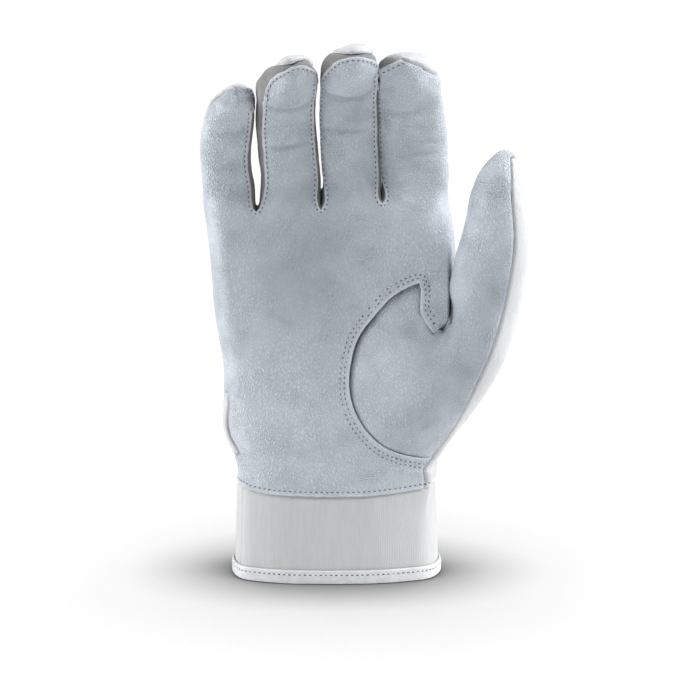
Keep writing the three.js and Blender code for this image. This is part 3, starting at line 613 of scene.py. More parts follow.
def subdivide(points, faces, spots):
    pairs, index, counts = edgesOf(faces)
    n, m = len(points), len(faces)
    facePoints = points[faces].mean(1)
    middles = points[pairs].mean(1)
    around = gather(index.ravel(), np.repeat(facePoints, 4, 0), len(pairs)) / counts[:, None]
    edgePoints = np.where(counts[:, None] > 1, (middles + around) / 2, middles)
    valence = np.maximum(np.bincount(pairs.ravel(), minlength=n), 1)[:, None]
    edgeSum = gather(pairs[:, 0], middles, n) + gather(pairs[:, 1], middles, n)
    faceSum = gather(faces.ravel(), np.repeat(facePoints, 4, 0), n)
    moved = (points * (valence - 3) + edgeSum * 2 / valence + faceSum / valence) / valence
    rims = pairs[counts == 1]
    rimSum = gather(rims[:, 0], middles[counts == 1], n) + gather(rims[:, 1], middles[counts == 1], n)
    onRim = np.bincount(rims.ravel(), minlength=n) > 0
    moved[onRim] = (points[onRim] * 2 + rimSum[onRim]) / 4
    centre = np.arange(m) + n
    after = index + n + m
    before = np.roll(after, 1, 1)
    fine = np.stack([np.stack([faces[:, i], after[:, i], centre, before[:, i]], 1) for i in range(4)], 1)
    mid = spots.mean(1)
    halfway = (spots + np.roll(spots, -1, 1)) / 2
    back = np.roll(halfway, 1, 1)
    fineSpots = np.stack([np.stack([spots[:, i], halfway[:, i], mid, back[:, i]], 1) for i in range(4)], 1)
    return np.concatenate([moved, facePoints, edgePoints]), fine.reshape(-1, 4), fineSpots.reshape(-1, 4, 2)


def pointNormals(points, faces):
    a, b, c, d = (points[faces[:, i]] for i in range(4))
    flat = np.cross(c - a, d - b)
    return unit(gather(faces.T.ravel(), np.concatenate([flat] * 4), len(points)))


cage = Cage()
rowLeft, rowRight = layOutFingers()
rings, crotches = handRings(rowLeft, rowRight)
handPoints = buildHand(cage, rings)
crotchPoints = []
for x, (_, middle, _) in zip(crotches, hand["crotchShares"]):
    crotchPoints.append(cage.point([x, 0, hand["leatherFoot"] + breadth * middle]))
for i in range(len(fingers)):
    buildFinger(cage, i, handPoints, crotchPoints)
buildThumb(cage, handPoints)

points = np.array(cage.points, float)
faces = np.array(cage.faces)
spots = np.array(cage.spots, float)
targets = points.copy()
for _ in range(fitSteps):  # the cage is moved until the smooth skin passes through its first points
    points = points + targets - limitPoints(points, faces)
panels, levels, columns = (np.array(x) for x in (cage.panels, cage.levels, cage.columns))
for step in range(fineSteps):
    points, faces, spots = subdivide(points, faces, spots)
    panels, levels, columns = (np.repeat(x, 4) for x in (panels, levels, columns))
    if step == 0:
        coarse = limitPoints(points, faces)
        thumbBack = coarse[faces[panels == "thumb_back"].ravel()]
        thumbFront = coarse[faces[panels == "thumb_front"].ravel()]
        # the skin's place in the frame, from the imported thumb
        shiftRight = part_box("thumb_back")[1][0] / metre - thumbBack[:, 0].max()
        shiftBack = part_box("thumb_front")[0][1] / metre - thumbFront[:, 1].min()
shift = np.array([shiftRight, shiftBack, 0])
points = limitPoints(points, faces) + shift
print("skin of", len(points), "points, moved by", shift.round(3))

# Which real piece each face belongs to
band, palm, thumbPiece, back, fourchette, flex = range(6)


def groupOf(panel, level):
    if level < cuffLevelCount - 1:
        return band
    if panel.startswith("thumb_panel") or panel == "thumb_front":
        return thumbPiece
    if panel.startswith("web") or panel.endswith("_left") or panel.endswith("_right"):
        return fourchette
    if panel == "palm" or panel.endswith("_front"):
        return palm
    return flex if panel == "flex" else back


groups = np.array([groupOf(panel, level) for panel, level in zip(cage.panels, cage.levels)])
groups = np.repeat(groups, 4**fineSteps)

# The palm's leather stands forward where it turns into the notch beside the thumb: the edges of that place,
# how far they slope, and the front that the leather comes up to, in millimetres
notch = {
    "left": 22.0,
    "leftSlope": 4.0,
    "right": 36.0,
    "rightSlope": 2.6,
    "foot": 105.0,
    "footSlope": 10.0,
    "top": 136.0,
    "topSlope": 14.0,
    "behind": 1.0,
    "behindSlope": 8.0,
    "front": -14.6,
    "turn": 0.03,
    "lean": 0.07,
}


def fillNotch(spots):
    x, y, z = spots.T
    front = notch["front"] + (x - notch["left"]) * notch["turn"] - (notch["top"] - z) * notch["lean"]
    share = smooth((x - notch["left"]) / notch["leftSlope"])
    share = share * (1 - smooth((x - notch["right"]) / notch["rightSlope"]))
    share = share * smooth((z - notch["foot"]) / notch["footSlope"])
    share = share * (1 - smooth((z - notch["top"]) / notch["topSlope"]))
    share = share * (1 - smooth((y - notch["behind"]) / notch["behindSlope"]))
    return np.minimum(front - y, 0) * share


# The thumb's tip leans back, away from the palm, from its start along the thumb's line
thumbTip = {"along": np.array([0.4765, 0, 0.8792]), "start": 176.0, "left": 42.0, "lean": 0.014}


def leanTip(spots):
    along = spots @ thumbTip["along"] - thumbTip["start"]
    return np.where(spots[:, 0] > thumbTip["left"], thumbTip["lean"] * np.maximum(along, 0) ** 2, 0)


points[:, 1] += fillNotch(points)
points[:, 1] += leanTip(points)
normals = pointNormals(points, faces)


def cutAlong(chosen, field):
    # draws points onto the line where the field is zero, and parts the faces that it still crosses
    global faces, spots, panels, levels, columns, groups
    pairs, _, counts = edgesOf(faces[chosen])
    atRim = set(pairs[counts == 1].ravel().tolist())
    moves = []
    for (a, b), count in zip(pairs.tolist(), counts):
        if field[a] * field[b] >= 0:
            continue
        for end, other in ((a, b), (b, a)):
            if end not in atRim or count == 1:
                moves.append((abs(field[end]) / (abs(field[end]) + abs(field[other])), end, other))
    for share, end, other in sorted(moves):
        if field[end] * field[other] < 0:
            points[end] += (points[other] - points[end]) * share
            normals[end] += (normals[other] - normals[end]) * share
            field[end] = 0
    extra = []
    for f in np.nonzero(chosen)[0]:
        values = field[faces[f]]
        for i in range(4):
            if values[i] > 0 > values[(i + 2) % 4]:
                rest = [(i + 2) % 4, (i + 3) % 4, (i + 1) % 4, (i + 1) % 4]
                kept = [(i + 3) % 4, i, (i + 1) % 4, (i + 1) % 4]
                extra.append((f, faces[f][rest].copy(), spots[f][rest].copy()))
                faces[f], spots[f] = faces[f][kept].copy(), spots[f][kept].copy()
                break
    if extra:
        source = [f for f, _, _ in extra]
        faces = np.concatenate([faces, [corners for _, corners, _ in extra]])
        spots = np.concatenate([spots, [at for _, _, at in extra]])
        panels, levels = np.concatenate([panels, panels[source]]), np.concatenate([levels, levels[source]])
        columns, groups = np.concatenate([columns, columns[source]]), np.concatenate([groups, groups[source]])
        chosen = np.concatenate([chosen, np.ones(len(extra), bool)])
    return chosen, field[faces].sum(1)


# The leather's edge over each fingertip and the edge of the white back above it, as lines in the
# photograph's pixels from left to right, and how far round the sides the leather reaches:
# 1 is at the corner of the finger's front and 2 is halfway round its side.
# At the index finger the two edges are one seam right of the cusp
indexSeam = [(407.9, 61.7), (412.8, 62.8), (418.6, 64.9), (424.5, 68.6), (430.3, 72.3), (437, 76)]
indexSeam += [(446, 80), (470, 90)]
tips = {
    "little": {
        "leather": [(196, 118), (207, 108), (213, 100), (221, 91), (232, 87.5), (240, 85), (249, 83),
                    (262, 88)],
        "white": None,
        "reach": (2, 1),
    },
    "ring": {
        "leather": [(261.5, 112), (262.7, 102.6), (266.2, 89.4), (270.8, 80.2), (277.7, 74.4), (284.6, 71),
                    (291.4, 67), (298.3, 65), (305.2, 65.8), (311, 68.1), (316.7, 72.1), (324, 79)],
        "white": [(240, 70), (274.2, 65.8), (282.3, 65.3), (291.4, 64.1), (298.3, 60.7), (305.2, 59),
                  (309.8, 60.7), (313, 66), (325, 68)],
        "reach": (1, 1),
    },
    "middle": {
        "leather": [(312, 90), (323.3, 77.3), (325, 74), (329.1, 69), (334.1, 64), (339.9, 59.9),
                    (346.5, 57.8), (356.5, 57), (364.8, 57.6), (371.4, 59.5), (375.5, 62.4), (379.3, 67.4),
                    (386, 74)],
        "white": [(305, 58), (327.4, 53.7), (335.7, 52.9), (349.8, 54), (364.8, 52.9), (373, 53.7),
                  (386, 58)],
        "reach": (1.69, 1),
    },
    "index": {
        "leather": [(368, 82), (376, 75), (380.5, 70.7), (389.6, 65.7), (394.6, 63.6), (402.1, 60),
                    *indexSeam],
        "white": [(370, 57), (383, 55.8), (395, 55.5), (402, 59.9), *indexSeam],
        "reach": (1.69, 2),
    },
}
indexCusp = 403.1  # in pixels
tipShare = 0.7  # the tips' seams lie beyond this share of the finger
sideReach = {"start": 0.03, "run": 0.2}  # where the leather comes round a finger's side, along it
onLine = 1e-9  # closer to a line than this is on it


def belowLine(line, flat):
    # how far below a line in the picture points lie, in pixels, negative above it
    left, right, foot = line[0][0], line[-1][0], view["photoSide"]
    return depthInside(np.array([*line, (right, foot), (left, foot)], float), flat)


def cutByValues(chosen, valuesAt):
    # cuts some faces where a value of their corners is zero
    field = np.full(len(points), -1.0)
    corners = faces[chosen].ravel()
    field[corners] = valuesAt(corners)
    return cutAlong(chosen, field)


def cutSide(i, side, reach):
    # the palm's leather comes round one side of a finger
    turned = spots[:, :, 0].mean(1) * side
    wall = (columns == i) & (groups == fourchette) & (turned > 1) & (turned < 2)
    wall &= (levels >= topLevel) & (levels < capLevel)
    around, along = spots[wall][:, :, 0].ravel() * side, spots[wall][:, :, 1].ravel()
    limit = 1 + (reach - 1) * smooth((along - sideReach["start"]) / sideReach["run"])
    wall, depth = cutByValues(wall, lambda corners: limit - around)
    groups[wall & (depth > onLine)] = palm


def cutTip(i, tip):
    # over the tip: first the leather's edge on the front and the cap, then the edge of the white back
    upper = (columns == i) & np.isin(groups, [palm, fourchette]) & (levels >= topLevel)
    upper &= (spots[:, :, 1].mean(1) > tipShare) | (levels == capLevel)
    upper, depth = cutByValues(upper, lambda corners: belowLine(tip["leather"], inPhoto(points[corners])))
    inFront = upper & (normals[faces].mean(1)[:, 1] < 0)
    groups[inFront & (depth < -onLine)] = fourchette if tip["white"] else back
    groups[inFront & (depth > onLine) & (levels >= capLevel - 1)] = palm
    if tip["white"]:
        upper = (columns == i) & np.isin(groups, [back, fourchette]) & (levels >= capLevel - 1)
        upper, depth = cutByValues(upper, lambda corners: belowLine(tip["white"], inPhoto(points[corners])))
        inFront = upper & (normals[faces].mean(1)[:, 1] < 0)
        groups[upper & (depth < -onLine)] = back
        groups[inFront & (depth > onLine)] = fourchette


for i, finger in enumerate(fingers):
    tip = tips[finger["name"]]
    for side, reach in zip((-1, 1), tip["reach"]):
        if reach not in (1, 2):
            cutSide(i, side, reach)
    cutTip(i, tip)
onIndex = (columns == len(fingers) - 1) & (groups == fourchette) & (levels >= topLevel)
groups[onIndex & (inPhoto(points[faces].mean(1))[:, 0] > indexCusp)] = back

# The white back shows a little at the left of the heel: its edge there, in the photograph's pixels
heel = [(190, 386), (228, 394), (228.4, 409), (227, 418), (227.2, 427), (230, 437), (234.6, 445)]
heel = np.array(heel + [(239.6, 454), (190, 466)])
edgeColumns = [0, 1, columnCount - 2, columnCount - 1]
aside = (groups == palm) & np.isin(columns, edgeColumns) & (levels >= cuffLevelCount) & (levels < webLevel)
aside, depth = cutByValues(aside, lambda corners: depthInside(heel, inPhoto(points[corners])))
groups[aside & (depth > onLine)] = back

# The arc and the tongue round the thumb's panel
outline = curveThrough(arc["tongueShares"], arc["tongueSteps"])
outline += curveThrough(arc["arcShares"], arc["arcSteps"]) + [np.array(spot) for spot in arc["sideShares"]]
outline = np.array(outline) * breadth + [shift[0], hand["leatherFoot"]]
arcEnd = arc["arcShares"][0][0] * breadth + shift[0]
nearArc = (groups == palm) & (levels >= cuffLevelCount) & (levels <= webLevel)
nearArc &= (columns >= arc["columns"][0]) & (columns <= arc["columns"][1])
field = np.zeros(len(points))
inArc = np.unique(faces[nearArc])
field[inArc] = depthInside(outline, points[inArc][:, [0, 2]])
nearArc, side = cutAlong(nearArc, field)
groups[nearArc & (side > onLine)] = thumbPiece
print("leather cut: faces in each piece", np.bincount(groups))

# How each piece meets its neighbours, in millimetres: how far its edge stands proud of the hand's form,
# how wide that slopes, and how far the edge is drawn in (or pushed under the neighbour, if negative).
# "foot" is the leather's lower edge
rolledEdge = (-0.75, 1.9, 0.2)
footEdge = (0.1, 3, 0.45)
meetings = {
    palm: {fourchette: (0.55, 2.8, 0.5), thumbPiece: (1.0, 9, 1.2), back: rolledEdge, "foot": footEdge},
    thumbPiece: {palm: (-2.4, 3.6, -1.5), back: rolledEdge},
    back: {
        palm: rolledEdge,
        thumbPiece: rolledEdge,
        fourchette: (-0.7, 1.7, 0.2),
        flex: (0.3, 3, 0.5),
        "foot": footEdge,
    },
    fourchette: {palm: (-0.6, 1.5, -0.9), back: (-0.7, 1.7, 0.2)},
    flex: {back: (-0.55, 1.5, -0.9)},
}
thicknesses = {palm: 0.9, thumbPiece: 0.9, back: 0.9, fourchette: 0.6, flex: 0.7}
seamForm = {
    "drawnOver": 2.6,  # an edge's shift dies away over this distance
    "smoothing": 6,
    # painted shade along a turned-in seam: how dark it is and how wide
    "paintedShade": 1.6,  # how dark a turned-in seam is, and how wide
    "paintedShadeWidth": 0.6,
    "edgeLightWidth": 0.9,
    "ruffle": 0.22,  # of the palm leather's edge beside the fourchettes
    "ruffleSize": 3.2,
}
# the index finger's front is full up to its seam
fullFront = {"left": 6.8, "leftSlope": 0.8, "foot": 172.0, "footSlope": 8.0, "proud": 1.1, "reach": 1.6}
# the arc's gap is widest along its top, and narrow beside the tongue and at the arc's foot
arcGap = {"start": -2.0, "run": 5.0, "foot": 60.0, "footRun": 40.0, "tongue": (0.65, 0.6), "low": (0.55, 0.5)}
dents = [(0.1, 8, 1), (0.05, 3, 9)]  # height, size and seed of the leather's soft unevenness

# One stitch and the needle hole before it
stitch = {
    "pitch": 2.25,
    "length": 1.3,
    "radius": 0.2,
    "rise": 0.06,
    "sink": 0.12,
    "flatness": 1.15,
    "points": 5,  # along the thread
    "sides": 6,
    "holeLength": 0.62,
    "holeWidth": 0.3,
    "holeRise": 0.05,
    "holeSides": 8,
    "holeRings": [(1, -0.1), (0.9, 0.6), (0.5, 1)],  # shares of its size and rise
    "groove": 0.24,
    "grooveWidth": 0.75,
}
ribs = {"pitch": 3.3, "height": 0.32}  # across the knit insert over the knuckles
# Rows of stitches, by their distance from the edge between two pieces
rows = {
    palm: {fourchette: (1.4,), thumbPiece: (2.75, 4.6), "foot": (1.9,)},
    back: {flex: (1.4, 3.2), "foot": (1.9,)},
}


def directedEdges(chosen):
    # the free edges of some faces, running as their faces run
    corners = faces[chosen]
    ends = np.stack([corners.ravel(), np.roll(corners, -1, 1).ravel()], 1)
    ends = ends[ends[:, 0] != ends[:, 1]]
    size = len(points)
    keys = ends[:, 0] * size + ends[:, 1]
    free = ends[~np.isin(keys, ends[:, 1] * size + ends[:, 0])]
    return [tuple(edge) for edge in free.tolist()]


class Border:
    # the edge between two pieces, seen from one of them, as chains of points
    def __init__(self, group, other):
        self.pair = (group, other)
        mine = groups == group
        away = groups == other if other != "foot" else levels < cuffLevelCount - 1
        ends = directedEdges(mine)
        theirs = {(b, a) for a, b in directedEdges(away)}
        after = dict(edge for edge in ends if edge in theirs)
        starts = sorted(set(after) - set(after.values()))
        chains = []
        while after:
            at = starts.pop() if starts else min(after)
            chain = [at]
            while at in after:
                at = after.pop(at)
                chain.append(at)
            chains.append(chain)
        self.samples, self.lines = [], []
        for chain in chains:
            line = points[chain]
            turned = unit(np.cross(normals[chain[:-1]] + normals[chain[1:]], line[1:] - line[:-1]))
            inward = (np.concatenate([turned[:1], turned]) + np.concatenate([turned, turned[-1:]])) / 2
            for _ in range(seamForm["smoothing"]):
                inward[1:-1] = (inward[:-2] + 2 * inward[1:-1] + inward[2:]) / 4
            inward = unit(inward)
            self.lines.append((line, inward))
            for i in range(len(chain) - 1):
                for t in (0, 0.25, 0.5, 0.75):
                    spot = line[i] * (1 - t) + line[i + 1] * t
                    pull = inward[i] * (1 - t) + inward[i + 1] * t
                    self.samples.append((spot, pull))
            self.samples.append((line[-1], inward[-1]))
        self.tree = KDTree(max(len(self.samples), 1))
        for i, (spot, _) in enumerate(self.samples):
            self.tree.insert(spot, i)
        self.tree.balance()

    def nearest(self, spots):
        found = [self.tree.find(spot) for spot in spots]
        distance = np.array([d for _, _, d in found])
        return distance, np.array([self.samples[i][1] for _, i, _ in found])


# Painted shade on the palm's leather: the hollow of the hand and the outer side of the thumb's base are
# painted a little darker, as places across and up, and how wide and how dark they are
hollows = [
    {"line": [(-27, 138), (-18, 150)], "reach": (30, 34), "strength": 1.0},
    {"line": [(-22, 170), (-14, 195)], "reach": (26, 20), "strength": 0.42},
    {"line": [(58, 128), (47, 98), (22, 66)], "reach": (13, 13), "strength": 0.75},
]


def hollowAt(place):
    flat = place[:, [0, 2]]
    depth = np.zeros(len(place))
    for hollow in hollows:
        scale = np.array(hollow["reach"], float)
        away, _, _ = distanceToLine(flat / scale, np.array(hollow["line"], float) / scale)
        depth = np.maximum(depth, hollow["strength"] * bell(away))
    return depth


# Creases and folds that the photograph shows, as lines in its pixels: how deep, how wide, how far the
# leather above the line stands out, and the line
folds = {
    "littleTipCrease": (-0.3, 1.2, 0.3, [(208, 131), (222, 134), (240, 131), (250, 124)]),
    "littleMiddleCrease": (-0.3, 1.3, 0.1, [(206, 166), (224, 169), (248, 163)]),
    "ringTipCrease": (-0.6, 1.1, 1.15, [(262, 101), (270, 108), (284, 110), (300, 108), (311, 102),
                                       (318, 93)]),
    "ringMiddleCrease": (-0.6, 1.2, 0.45, [(262, 146), (280, 148), (297, 145), (314, 138)]),
    "middleTipCrease": (-0.6, 1.1, 1.2, [(318, 84), (328, 94), (346, 99), (362, 97), (375, 90)]),
    "middleMiddleCrease": (-0.6, 1.2, 0.45, [(320, 126), (335, 131), (354, 132), (374, 128)]),
    "indexTipCrease": (-0.3, 1.2, 0.45, [(381, 108), (396, 113), (415, 112), (434, 104)]),
    "indexWrinkle": (-0.35, 1.2, 0, [(395, 125), (412, 126), (427, 130)]),
    "indexOuterWrinkle": (-0.3, 1.2, 0, [(415, 142), (428, 141), (440, 143)]),
    "indexMiddleCrease": (-0.25, 1.3, 0.15, [(388, 152), (404, 156), (425, 155), (443, 150)]),
    "indexRootFold": (0.5, 1.5, 0, [(390, 189), (402, 198), (415, 206)]),
    "littleTipValley": (-1.8, 3.4, 0, [(218, 106), (232, 96), (242, 93), (262, 90)]),
    "ringShoulder": (1.2, 3.0, 0, [(259, 82), (268, 70), (276, 64), (286, 60), (296, 58)]),
    "middleShoulder": (0.9, 2.8, 0, [(320, 76), (324, 62), (330, 56), (338, 53), (346, 52)]),
    "indexShoulder": (1.4, 2.8, 0, [(414, 57), (428, 62), (436, 69), (440, 80), (441, 90)]),
    "crotchValley": (-0.35, 3.0, 0, [(372, 210), (382, 220), (393, 234)]),
    "thumbTipCrease": (-0.3, 1.4, 0.25, [(470, 214), (484, 219), (500, 217), (511, 211)]),
}


foldForm = {
    "endShare": 0.25,  # a fold runs out over this share of its length
    "ridge": (0.35, 1.9),  # a crease's raised lip: its share of the depth, and where it lies
    "puffRise": 1.6,
    "puffReach": 5.0,
    "puffAtEnds": 0.4,
    "shade": (0.2, 0.9),  # where the dark line of a crease lies, and how wide
    "facing": 0.4,
}


def foldsAt(place, normal):
    # the height that the folds add, and how much painted shade each point gets in a crease
    away, _ = viewAxes()
    seen = smooth(normal @ away / foldForm["facing"])
    flat = inPhoto(place)
    pixel = 2 * view["distance"] * math.tan(math.radians(view["fieldOfView"]) / 2) / view["photoSide"]
    lip, lipPlace = foldForm["ridge"]
    shadePlace, shadeWidth = foldForm["shade"]
    atEnds, run = foldForm["puffAtEnds"], foldForm["endShare"]
    height, valley = np.zeros(len(place)), np.zeros(len(place))
    for depth, width, puff, line in folds.values():
        away, share, above = distanceToLine(flat, np.array(line, float))
        signed = away * above * pixel
        away = away * pixel / width
        ends = smooth(share / run) * smooth((1 - share) / run)
        height += depth * ends * (bell(away) - lip * bell(away - lipPlace))
        rise = smooth(signed / foldForm["puffRise"]) * np.exp(-np.maximum(signed, 0) / foldForm["puffReach"])
        height += puff * (atEnds + (1 - atEnds) * ends) * rise
        # each crease's dark line is painted shade
        if depth < 0:
            valley += -depth * ends * bell((away - shadePlace) / shadeWidth)
    return height * seen, valley * seen


class Piece:
    # one sewn piece of the glove: its outer surface with its edges shaped, and the edges' round rims
    def __init__(self, group):
        self.thickness = thicknesses[group]
        self.chosen = groups == group
        used = np.unique(faces[self.chosen])
        self.used = used
        place, normal = points[used], normals[used]
        height, draw = np.zeros(len(used)), np.zeros((len(used), 3))
        rowAway, edgeLight, seam = np.full(len(used), 9.0), np.zeros(len(used)), np.zeros(len(used))
        self.seams = {}
        for other, (proud, reach, drawn) in meetings[group].items():
            border = Border(group, other)
            if not border.samples:
                continue
            away, pull = border.nearest(place)
            if group == palm and other == fourchette:
                full = smooth((place[:, 0] - fullFront["left"]) / fullFront["leftSlope"])
                full = full * smooth((place[:, 2] - fullFront["foot"]) / fullFront["footSlope"])
                proud, reach = proud + fullFront["proud"] * full, reach + fullFront["reach"] * full
                drawn = drawn + seamForm["ruffle"] * softNoise(place, seamForm["ruffleSize"], 31)
            share = np.clip(away / reach, 0, 1)
            if {group, other} == {palm, thumbPiece}:
                onTongue = smooth((place[:, 0] - arcEnd - arcGap["start"]) / arcGap["run"])
                atFoot = 1 - smooth((place[:, 2] - arcGap["foot"]) / arcGap["footRun"])
                proud = proud * (1 - arcGap["tongue"][0] * onTongue) * (1 - arcGap["low"][0] * atFoot)
                drawn = drawn * (1 - arcGap["tongue"][1] * onTongue) * (1 - arcGap["low"][1] * atFoot)
            if np.max(proud) < 0:
                # a turned-in seam sinks, and painted shade darkens its groove
                height += proud * (1 - np.sqrt(np.clip(1 - (1 - share) ** 2, 0, 1)))
                seam = np.maximum(seam, seamForm["paintedShade"] * bell(away / seamForm["paintedShadeWidth"]))
            else:
                height += proud * (1 - smooth(share))
                # a raised edge gets a painted highlight along it
                edgeLight = np.maximum(edgeLight, bell(away / seamForm["edgeLightWidth"]))
            draw += pull * (drawn * (1 - smooth(away / seamForm["drawnOver"])))[:, None]
            for row in rows.get(group, {}).get(other, ()):
                rowAway = np.minimum(rowAway, np.abs(away - row))
            self.seams[other] = border
        if group == flex:
            height += ribs["height"] * np.cos(place[:, 2] * 2 * math.pi / ribs["pitch"])
        fold, valley = foldsAt(place, normal)
        height += fold
        # for the materials: a painted highlight along raised edges, painted shade in creases, turned-in seams
        # and the hand's hollow
        self.marks = {"paintedEdgeLight": edgeLight, "paintedCreaseShade": np.maximum(valley, seam), "hollow": hollowAt(place)}
        height -= stitch["groove"] * bell(rowAway / stitch["grooveWidth"])
        for rise, size, seed in dents:
            height += rise * softNoise(place, size, seed + group)
        self.place = place + draw + normal * height[:, None]
        self.index = np.full(len(points), -1)
        self.index[used] = np.arange(len(used))
        self.normal = pointNormals(self.place, self.index[faces[self.chosen]])
        self.roundEdges()

    def roundEdges(self):
        # three points round the edge at each point on it
        outwards = np.zeros((len(self.used), 3))
        self.free = directedEdges(self.chosen)
        i, j = (self.index[list(side)] for side in zip(*self.free))
        out = unit(np.cross(self.place[j] - self.place[i], self.normal[i] + self.normal[j]))
        np.add.at(outwards, i, out)
        np.add.at(outwards, j, out)
        self.rimmed = np.unique(np.concatenate([i, j]))
        normal = self.normal[self.rimmed]
        out = outwards[self.rimmed]
        out = unit(out - normal * (out * normal).sum(1, keepdims=True))
        radius = self.thickness / 2
        turned, ring = [], []
        for angle in (45, 90, 135):
            side, up = math.sin(math.radians(angle)), math.cos(math.radians(angle))
            ring.append(self.place[self.rimmed] + (out * side + normal * (up - 1)) * radius)
            turned.append(out * side + normal * up)
        self.rimPlace, self.rimNormal = np.stack(ring, 1), np.stack(turned, 1)
        self.rimRow = dict(zip(self.rimmed.tolist(), range(len(self.rimmed))))


def makeMesh(name, verts, polygons, kinds, marks, looks):
    # an object from points in millimetres. Its marks are values for the materials: each point's place
    # at rest, which they follow in every pose, and others by name
    mesh = bpy.data.meshes.new(name)
    mesh.from_pydata((np.asarray(verts) * metre).tolist(), [], polygons, shade_flat=False)
    mesh.polygons.foreach_set("material_index", kinds)
    place = np.empty(len(mesh.vertices) * 3, np.float32)
    mesh.vertices.foreach_get("co", place)
    mesh.attributes.new("restPlace", "FLOAT_VECTOR", "POINT").data.foreach_set("vector", place / metre)
    for label, values in marks.items():
        mesh.attributes.new(label, "FLOAT", "POINT").data.foreach_set("value", values.astype(np.float32))
    for look in looks:
        mesh.materials.append(look)
    return addObject(name, mesh)


def partMesh(name, piece, chosen, looks):
    # a closed sheet from some faces of a piece: its outer and inner sides, rounded edges, and plain cuts
    used = np.unique(piece.index[faces[chosen]])
    local = np.full(len(piece.used), -1)
    local[used] = np.arange(len(used))
    mine = local[piece.index[faces[chosen]]]
    count = len(used)
    rimmed = [k for k in used.tolist() if k in piece.rimRow]
    rimRows = [piece.rimRow[k] for k in rimmed]
    rims = {k: [2 * count + 3 * i + n for n in range(3)] for i, k in enumerate(rimmed)}
    place, normal = piece.place[used], piece.normal[used]
    rim, rimNormal = piece.rimPlace[rimRows].reshape(-1, 3), piece.rimNormal[rimRows].reshape(-1, 3)
    verts = np.concatenate([place, place - normal * piece.thickness, rim])
    polygons = [tuple(dict.fromkeys(corners)) for corners in mine.tolist()]
    polygons += [tuple(count + c for c in corners[::-1]) for corners in polygons]
    kinds = [0] * len(polygons)
    real = set(piece.free)
    for a, b in directedEdges(chosen):
        i, j = piece.index[a], piece.index[b]
        left = [local[i], *rims.get(i, ()), local[i] + count]
        right = [local[j], *rims.get(j, ()), local[j] + count]
        if (a, b) in real:
            polygons += [(left[n], left[n + 1], right[n + 1], right[n]) for n in range(4)]
            kinds += [1] * 4
        else:
            polygons.append((*left, *right[::-1]))
            kinds.append(0)
    marks = {}
    for label, values in piece.marks.items():
        marks[label] = np.concatenate([values[used], values[used], np.repeat(values[rimmed], 3)])
    obj = makeMesh(name, verts, polygons, kinds, marks, looks)
    obj.data.normals_split_custom_set_from_vertices(np.concatenate([normal, -normal, rimNormal]).tolist())
    return obj


# Bodies: the faces of each finger from its root on, and the thumb's faces
bodyNames = ["hand", "little_finger", "ring_finger", "middle_finger", "index_finger", "thumb"]
onThumb = np.isin(panels, ["thumb_front", "thumb_back"])
bodies = np.where((levels > topLevel) & ~onThumb, columns + 1, 0)
bodies[onThumb] = bodyNames.index("thumb")


def addNode(look, kind, inputs=(), **settings):
    node = look.node_tree.nodes.new("ShaderNode" + kind)
    for name, value in settings.items():
        setattr(node, name, value)
    for name, value in dict(inputs).items():
        if isinstance(value, bpy.types.NodeSocket):
            look.node_tree.links.new(value, node.inputs[name])
        else:
            node.inputs[name].default_value = value
    return node


def mathOf(look, operation, a, b=0.0):
    return addNode(look, "Math", {0: a, 1: b}, operation=operation).outputs[0]


def waves(look, value, size):
    # runs up and down between nought and a size
    return mathOf(look, "PINGPONG", value, size)


def ramp(look, value, low, high, toLow=0.0, toHigh=1.0):
    inputs = {"Value": value, "From Min": low, "From Max": high, "To Min": toLow, "To Max": toHigh}
    return addNode(look, "MapRange", inputs, interpolation_type="SMOOTHSTEP").outputs["Result"]


def tint(look, factor, a, b):
    return addNode(look, "Mix", {0: factor, 6: a, 7: b}, data_type="RGBA").outputs[2]


def mark(look, name):
    return addNode(look, "Attribute", attribute_name=name).outputs["Fac"]


def placeOf(look, size=(1, 1, 1), turn=(0, 0, 0)):
    # the rest place in millimetres, turned, then divided by a size
    spot = addNode(look, "Attribute", attribute_name="restPlace").outputs["Vector"]
    rotation = [math.radians(angle) for angle in turn]
    turned = addNode(look, "Mapping", {"Vector": spot, "Rotation": rotation}).outputs[0]
    return addNode(look, "VectorMath", {0: turned, 1: [1 / s for s in size]}, operation="MULTIPLY").outputs[0]


def axesOf(look, size=(1, 1, 1)):
    return addNode(look, "SeparateXYZ", {0: placeOf(look, size)}).outputs


def softCloud(look, size, detail=2.0):
    size = size if isinstance(size, tuple) else (size, size, size)
    inputs = {"Vector": placeOf(look, size), "Scale": 1.0, "Detail": detail}
    return addNode(look, "TexNoise", inputs).outputs[0]


def grainCells(look, size, randomness=1.0, feature="DISTANCE_TO_EDGE", turn=(0, 0, 0)):
    size = size if isinstance(size, tuple) else (size, size, size)
    inputs = {"Vector": placeOf(look, size, turn), "Scale": 1.0, "Randomness": randomness}
    return addNode(look, "TexVoronoi", inputs, feature=feature).outputs["Distance"]


def bumped(look, height, depth, under=None):
    # depth in millimetres
    inputs = {"Height": height, "Distance": depth * metre, "Strength": 1.0}
    if under:
        inputs["Normal"] = under
    return addNode(look, "Bump", inputs).outputs[0]


def startLook(name, roughness, specular, sheen=0.0):
    look = bpy.data.materials.new(name)
    look.use_nodes = True
    shader = look.node_tree.nodes["Principled BSDF"]
    shader.inputs["Roughness"].default_value = roughness
    shader.inputs["Specular IOR Level"].default_value = specular
    shader.inputs["Sheen Weight"].default_value = sheen
    shader.inputs["Sheen Roughness"].default_value = 0.5
    return look, shader


def finishLook(look, shader, colour, normal):
    look.node_tree.links.new(colour, shader.inputs["Base Color"])
    look.node_tree.links.new(normal, shader.inputs["Normal"])
    return look
